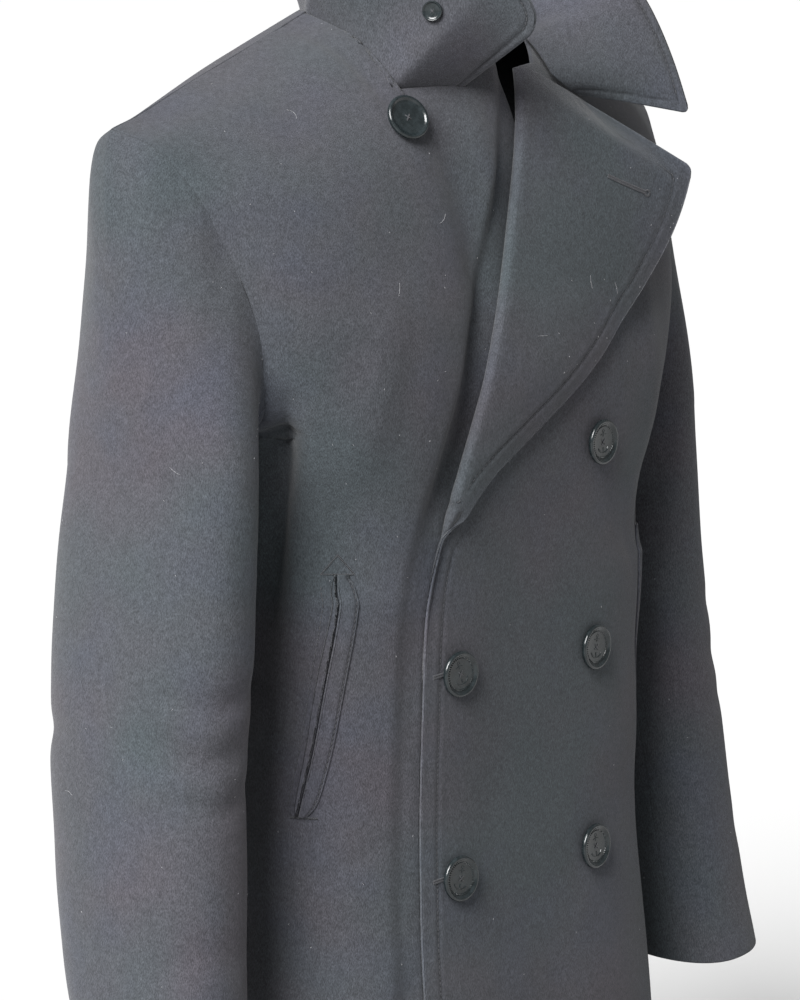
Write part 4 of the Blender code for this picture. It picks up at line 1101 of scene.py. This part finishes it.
def relief(thick):
    """A plain anchor round the holes, inside a ring of beads."""
    z = thick * 0.575
    a = np.linspace(math.radians(205), math.radians(335), 14)
    ring = np.linspace(0, 2 * np.pi, 17)
    parts = [
        tube([(0, 0.0035, z), (0, 0.0062, z)], 0.00042),
        tube([(0, -0.0036, z), (0, -0.0070, z)], 0.00042),
        tube([(-0.0026, 0.0048, z), (0, 0.0050, z), (0.0026, 0.0048, z)], 0.00036),
        tube(np.stack([0.0056 * np.cos(a), -0.0014 + 0.0056 * np.sin(a), 0 * a + z], axis=-1), 0.00046),
        tube(np.stack([0.0010 * np.cos(ring), 0.0072 + 0.0010 * np.sin(ring), 0 * ring + z], axis=-1), 0.00026),
    ]
    b = np.linspace(0, 2 * np.pi, 44, endpoint=False)
    beads = np.stack([0.0101 * np.cos(b), 0.0101 * np.sin(b), 0 * b + thick * 0.655], axis=-1)
    along = np.stack([-np.sin(b), np.cos(b), 0 * b], axis=-1)
    parts.append(capsules(beads, along, np.tile((0.0, 0.0, 1.0), (44, 1)), 0.00095, 0.00042))
    return join(parts)


def sewn_cross(spread_by, thick, radius):
    """Thread through the four holes: two strands each way across the middle."""
    parts = []
    reach = spread_by * 0.7071
    for shift in (-0.00025, 0.00025):
        for turn in (1, -1):
            line = [(-reach, -reach * turn + shift, thick * 0.3), (-reach * 0.86, -reach * turn * 0.86 + shift, thick * 0.60),
                    (0, shift, thick * 0.68), (reach * 0.86, reach * turn * 0.86 + shift, thick * 0.60),
                    (reach, reach * turn + shift, thick * 0.3)]
            parts.append(tube(line, radius, 6))
    return join(parts)


def cloth_point(x, level):
    """A point of the front's outer face and its outward normal, as the solids have it."""
    xs = np.array([x - 0.003, x, x + 0.003])
    patch = np.stack([section_points(FRONT, xs, np.full(3, level + d)) for d in (-0.003, 0, 0.003)])
    return patch[1, 1], outward(patch)[1, 1]


def set_in_place(shape, point, normal, spin=0.0):
    """Points turned so that +Z is the normal and moved to a point of the cloth."""
    turn = np.array(Vector(normal).to_track_quat("Z", "Y").to_matrix() @ Matrix.Rotation(spin, 3, "Z"))
    return shape @ turn.T + point + normal * 0.0005


class PeaCoatSettings(bpy.types.PropertyGroup):
    cloth_colour: FloatVectorProperty(
        name="Cloth", description="Colour of the melton", subtype="COLOR", size=3, min=0, max=1,
        default=(0.038, 0.040, 0.046))
    button_colour: FloatVectorProperty(
        name="Buttons", description="Colour of the button plastic", subtype="COLOR", size=3, min=0, max=1,
        default=(0.012, 0.013, 0.014))
    floor_colour: FloatVectorProperty(
        name="Floor", description="Colour of the floor", subtype="COLOR", size=3, min=0, max=1,
        default=(0.43, 0.43, 0.43))


class PEACOAT_OT_back(bpy.types.Operator):
    """Both halves of the back, seamed down the middle"""
    bl_idname = "peacoat.back"
    bl_label = "Back"

    def execute(self, context):
        for side, word in ((1, "left"), (-1, "right")):
            mid = back_mid(side)
            mid = lap(meet_armhole(mid, side), (False, True), (True, True))
            shell("cloth_back_" + word, mid, outward(mid), seamed=((False, True), (True, True)), replaces=("back_" + word,))
        return {"FINISHED"}


class PEACOAT_OT_fronts(bpy.types.Operator):
    """Both fronts, the left one with its folded lapel"""
    bl_idname = "peacoat.fronts"
    bl_label = "Fronts"

    def execute(self, context):
        mid = lap(meet_armhole(right_mid(), -1), (False, False), (True, False))
        shell("cloth_front_right", mid, outward(mid), seamed=((False, False), (True, False)), replaces=("front_right",))
        mid, normal, away = left_front()
        mid = lap(meet_armhole(mid, 1), (False, False), (True, False))
        shell("cloth_front_left", mid, normal, seamed=((False, False), (True, False)), replaces=("front_left",), puff=groove(away, EDGE_STITCH),
              stitch=np.abs(away - EDGE_STITCH), edge=away)
        return {"FINISHED"}


class PEACOAT_OT_collar(bpy.types.Operator):
    """The popped collar"""
    bl_idname = "peacoat.collar"
    bl_label = "Collar"

    def execute(self, context):
        mid, normal, away = collar_sheet()
        shell("cloth_collar", mid, normal, replaces=("collar",), puff=groove(away, COLLAR_STITCH),
              stitch=np.abs(away - COLLAR_STITCH), edge=away)
        return {"FINISHED"}


class PEACOAT_OT_sleeves(bpy.types.Operator):
    """Top and under sleeves"""
    bl_idname = "peacoat.sleeves"
    bl_label = "Sleeves"

    def execute(self, context):
        for side, word in ((1, "left"), (-1, "right")):
            rings = sleeve_rings(side)
            closed = rings[:, :-1]
            count = closed.shape[1]
            normal = grid_normals(np.concatenate([closed[:, -1:], closed, closed[:, :1]], axis=1))[:, 1:-1]
            away = closed - closed.mean(axis=1, keepdims=True)
            if (normal * away).sum() < 0:
                normal = -normal
            first, last = round(count * UNDER_START), round(count * UNDER_END)
            order = np.arange(last, first + count + 1) % count
            under = np.arange(first, last + 1)
            for kind, at in (("top", order), ("under", under)):
                part = closed[:, at].copy()
                part[:, 0] = part[:, 0] - unit(part[:, 1] - part[:, 0]) * SEAM_LAP
                part[:, -1] = part[:, -1] - unit(part[:, -2] - part[:, -1]) * SEAM_LAP
                shell(f"cloth_sleeve_{kind}_{word}", part, normal[:, at], seamed=((True, False), (True, True)),
                      replaces=(f"sleeve_{kind}_{word}",))
        return {"FINISHED"}


class PEACOAT_OT_pockets(bpy.types.Operator):
    """The welt and the inner lip of both hand-warmer pockets"""
    bl_idname = "peacoat.pockets"
    bl_label = "Pockets"

    def execute(self, context):
        for side, word in ((1, "left"), (-1, "right")):
            for kind, lines in zip(("welt", "lip"), pocket_strips(side)):
                normal = outward(lines)
                share = np.linspace(0, 1, lines.shape[1])[None, :]
                size = np.linalg.norm(lines[:, -1] - lines[:, 0], axis=1)[:, None]
                away = size * (1 - share)
                rest = 0.00028 + 0.00092 * (1 - share ** 6 * 0.8)
                puff = groove(away, 0.0016, 0.0004) if kind == "welt" else 0 * away
                shell(f"cloth_pocket_{kind}_{word}", lines + normal * rest[..., None], normal, half=WELT_THICK / 2,
                      replaces=(f"pocket_{kind}_{word}",), puff=puff,
                      stitch=np.abs(away - 0.0016) if kind == "welt" else None, edge=np.minimum(away, size - away))
        return {"FINISHED"}


class PEACOAT_OT_buttons(bpy.types.Operator):
    """Seven front buttons and the small one of the collar, with their thread"""
    bl_idname = "peacoat.buttons"
    bl_label = "Buttons"

    def execute(self, context):
        big = turned_button(BUTTON_RADIUS, BUTTON_THICK, 0.0010, 0.0026)
        small = turned_button(SMALL_RADIUS, SMALL_THICK, 0.0006, 0.0015)
        places = []
        for row, z in enumerate(BUTTON_ROWS):
            for side, word in ((1, "left"), (-1, "right")):
                if row or side > 0:
                    places.append((f"button_{word}_{row + 1}", cloth_point(side * BUTTON_X, z), True))
        level = level_at(np.array([CHEST_BUTTON[1]]), np.array([CHEST_BUTTON[0]]))[0]
        places.append(("button_chest", cloth_point(CHEST_BUTTON[0], level), False))
        for count, (name, (point, normal), figured) in enumerate(places):
            spin = (0.05, -0.12, 0.3, 0.1, -0.2, 0.15)[count]
            shape, faces = join([big, relief(BUTTON_THICK)]) if figured else big
            piece = new_object("moulded_" + name, set_in_place(shape, point, normal, spin), faces, BUTTON_SLOT, gloss())
            piece.data.set_sharp_from_angle(angle=math.radians(40))
            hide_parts(name)
            cross, faces = sewn_cross(0.0026, BUTTON_THICK, 0.00022)
            new_object("thread_" + name, set_in_place(cross, point, normal, spin), faces, MELTON_SLOT, thread())
        place, way = small_button_place()
        shape, faces = small
        piece = new_object("moulded_button_collar", set_in_place(shape, place, way), faces, BUTTON_SLOT, gloss())
        piece.data.set_sharp_from_angle(angle=math.radians(40))
        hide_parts("button_collar")
        cross, faces = sewn_cross(0.0015, SMALL_THICK, 0.00016)
        new_object("thread_button_collar", set_in_place(cross, place, way), faces, MELTON_SLOT, thread())
        return {"FINISHED"}


class PEACOAT_OT_sewing(bpy.types.Operator):
    """Topstitching, buttonholes and the arrowheads of the pockets"""
    bl_idname = "peacoat.sewing"
    bl_label = "Sewing"

    def execute(self, context):
        mid, normal, away = left_front()
        edge, rows = offset_line(mid, away, EDGE_STITCH)
        turn_row = np.flatnonzero(levels(1.0)[rows] > TURN_TO - 0.02)[0]
        lapel_away = np.linalg.norm(edge - mid[rows, -1], axis=1)
        last = turn_row + np.flatnonzero(lapel_away[turn_row:] < EDGE_STITCH * 1.45)[-1]
        top, columns = offset_line(mid, away, EDGE_STITCH, rows=False)
        keep = columns > mid.shape[1] - 30
        top = top[keep][np.linalg.norm(top[keep] - mid[-1, columns[keep]], axis=1) < EDGE_STITCH * 1.45]
        lapel = np.concatenate([edge[turn_row:last + 1], top[::-1]])
        parts = [run_of_stitches(edge[:turn_row + 1], mid, normal, HALF * 0.7),
                 run_of_stitches(lapel, mid, normal, -HALF * 0.7)]
        new_object("stitching_front_left", *join(parts), MELTON_SLOT, thread())
        grid, ways, away = collar_sheet()
        top, columns = offset_line(grid, away, COLLAR_STITCH, rows=False)
        inner = (columns > 4) & (columns < grid.shape[1] - 5)
        line = top[inner]
        parts = [run_of_stitches(line, grid, ways, sign * HALF * 0.7) for sign in (1, -1)]
        new_object("stitching_collar", *join(parts), MELTON_SLOT, thread())
        flap, body = slice(126, None), slice(0, 105)
        holes = [keyhole((0.0780, -0.088, -0.104), (0.1060, -0.104, -0.114), mid[:, flap], normal[:, flap], -HALF * 1.2)]
        holes += [keyhole((-0.0860, -0.104, z), (-0.0560, -0.104, z + 0.004), mid[:, body], normal[:, body], HALF * 1.2)
                  for z in BUTTON_ROWS[1:]]
        new_object("buttonholes", *join(holes), MELTON_SLOT, thread())
        for side, word in ((1, "left"), (-1, "right")):
            front = right_mid() if side < 0 else left_mid()[0][:, :100]
            ways = outward(front)
            parts = []
            for strip in pocket_strips(side)[:1]:
                share = 1 - 0.0016 / np.linalg.norm(strip[:, -1] - strip[:, 0], axis=1)
                line = strip[:, 0] + (strip[:, -1] - strip[:, 0]) * share[:, None]
                parts.append(run_of_stitches(line[2:-2], strip, outward(strip), 0.0015))
            strip = pocket_strips(side)[0]
            across = (strip[35, -1] - strip[35, 0])[None]
            behind = strip[4:-4, 0] - across * 0.85
            parts.append(run_of_stitches(behind, front, ways, HALF * 1.1))
            low, high = strip[0, 0] - across[0] * 0.85, strip[0, 0] + across[0] * 0.85
            apex = strip[0, 0] + np.array([0, 0, 0.012])
            arrow = resample(np.array([low, apex, high, low]), np.linspace(0, 1, 90))
            parts.append(satin(arrow, front, ways, HALF + 0.0003, 0.0011, 0.0009))
            bar = resample(np.stack([strip[-1, 0] - across[0] * 0.5, strip[-1, 0] + across[0]]), np.linspace(0, 1, 20))
            parts.append(satin(bar, front, ways, HALF + 0.0006, 0.0016, 0.0008))
            new_object("stitching_pocket_" + word, *join(parts), MELTON_SLOT, thread())
        return {"FINISHED"}


class PEACOAT_OT_lint(bpy.types.Operator):
    """Specks of lint and a few loose fibres on the cloth"""
    bl_idname = "peacoat.lint"
    bl_label = "Lint"

    def execute(self, context):
        rng = np.random.default_rng(11)
        left, left_normal, _ = left_front()
        sheets = ((right_mid(), outward(right_mid()), 1, 80), (left[:, :100], left_normal[:, :100], 1, 40),
                  (left[150:, 125:], left_normal[150:, 125:], -1, 26),
                  (sleeve_rings(-1), sleeve_normals(-1), 1, 60), (sleeve_rings(1), sleeve_normals(1), 1, 24))
        parts = []
        for grid, normal, sign, count in sheets:
            rows = rng.integers(3, grid.shape[0] - 3, count)
            columns = rng.integers(3, grid.shape[1] - 3, count)
            up = normal[rows, columns] * sign
            at = grid[rows, columns] + up * (HALF + 0.0001)
            along = unit(np.cross(up, rng.normal(size=(count, 3))))
            parts.append(capsules(at, along, up, 0.0011, 0.00009))
            curl = np.linspace(-1, 1, 12)[:, None]
            for k in range(0, count, 12):
                across = np.cross(up[k], along[k])
                hair = at[k] + along[k] * curl * 0.0042 + across * (curl ** 2) * rng.uniform(-0.0022, 0.0022)
                parts.append(tube(hair, 0.00006, 5))
        new_object("lint", *join(parts), MELTON_SLOT, thread("lint fibre", (0.30, 0.30, 0.31)))
        return {"FINISHED"}


class PEACOAT_OT_stage(bpy.types.Operator):
    """Pale floor, soft light and the camera"""
    bl_idname = "peacoat.stage"
    bl_label = "Stage"

    def execute(self, context):
        scene = context.scene
        scene.view_settings.view_transform = "Standard"
        mesh = bpy.data.meshes.new("floor")
        size = 40.0
        z = HEM_Z - 0.004
        mesh.from_pydata([(-size, -size, z), (size, -size, z), (size, size, z), (-size, size, z)], [], [(0, 1, 2, 3)])
        floor = bpy.data.objects.new("floor", mesh)
        finish = bpy.data.materials.new("floor")
        finish.use_nodes = True
        shader = finish.node_tree.nodes["Principled BSDF"]
        shader.inputs["Base Color"].default_value = (*scene.pea_coat.floor_colour, 1)
        shader.inputs["Roughness"].default_value = 0.9
        mesh.materials.append(finish)
        scene.collection.objects.link(floor)
        world = bpy.data.worlds.new("studio")
        world.use_nodes = True
        world.node_tree.nodes["Background"].inputs["Color"].default_value = (1, 1, 1, 1)
        world.node_tree.nodes["Background"].inputs["Strength"].default_value = 0.30
        scene.world = world
        for name, toward, strength, angle in (("key", (-0.86, -0.14, 0.74), 10.0, 38),):
            light = bpy.data.lights.new(name, "SUN")
            light.energy = strength
            light.angle = math.radians(angle)
            holder = bpy.data.objects.new(name, light)
            holder.rotation_euler = Vector(toward).to_track_quat("Z", "Y").to_euler()
            scene.collection.objects.link(holder)
        turn, rise = math.radians(48), math.radians(8.5)
        right = Vector((math.cos(turn), -math.sin(turn), 0))
        ahead = Vector((math.sin(turn) * math.cos(rise), math.cos(turn) * math.cos(rise), -math.sin(rise)))
        up = right.cross(ahead)
        target = right * -0.002548 + Vector((0, 0, -0.310))
        place = target - ahead * 3.5
        lens = bpy.data.cameras.new("camera")
        lens.sensor_width = 36
        lens.lens = 197.8
        lens.clip_end = 100
        camera = bpy.data.objects.new("camera", lens)
        camera.matrix_world = Matrix((
            (right.x, up.x, -ahead.x, place.x),
            (right.y, up.y, -ahead.y, place.y),
            (right.z, up.z, -ahead.z, place.z),
            (0, 0, 0, 1),
        ))
        scene.collection.objects.link(camera)
        scene.camera = camera
        return {"FINISHED"}


class PEACOAT_PT_panel(bpy.types.Panel):
    bl_label = "Pea coat"
    bl_space_type = "VIEW_3D"
    bl_region_type = "UI"
    bl_category = "Pea coat"

    def draw(self, context):
        for part in PARTS:
            self.layout.operator(part.bl_idname)


PARTS = (PEACOAT_OT_back, PEACOAT_OT_fronts, PEACOAT_OT_collar, PEACOAT_OT_sleeves, PEACOAT_OT_pockets,
         PEACOAT_OT_buttons, PEACOAT_OT_sewing, PEACOAT_OT_lint, PEACOAT_OT_stage)


def register():
    bpy.utils.register_class(PeaCoatSettings)
    bpy.types.Scene.pea_coat = PointerProperty(type=PeaCoatSettings)
    for part in PARTS:
        bpy.utils.register_class(part)
    bpy.utils.register_class(PEACOAT_PT_panel)


def unregister():
    bpy.utils.unregister_class(PEACOAT_PT_panel)
    for part in reversed(PARTS):
        bpy.utils.unregister_class(part)
    del bpy.types.Scene.pea_coat
    bpy.utils.unregister_class(PeaCoatSettings)


def main():
    register()
    for part in PARTS:
        group, name = part.bl_idname.split(".")
        getattr(getattr(bpy.ops, group), name)()


if __name__ == "__main__":
    main()
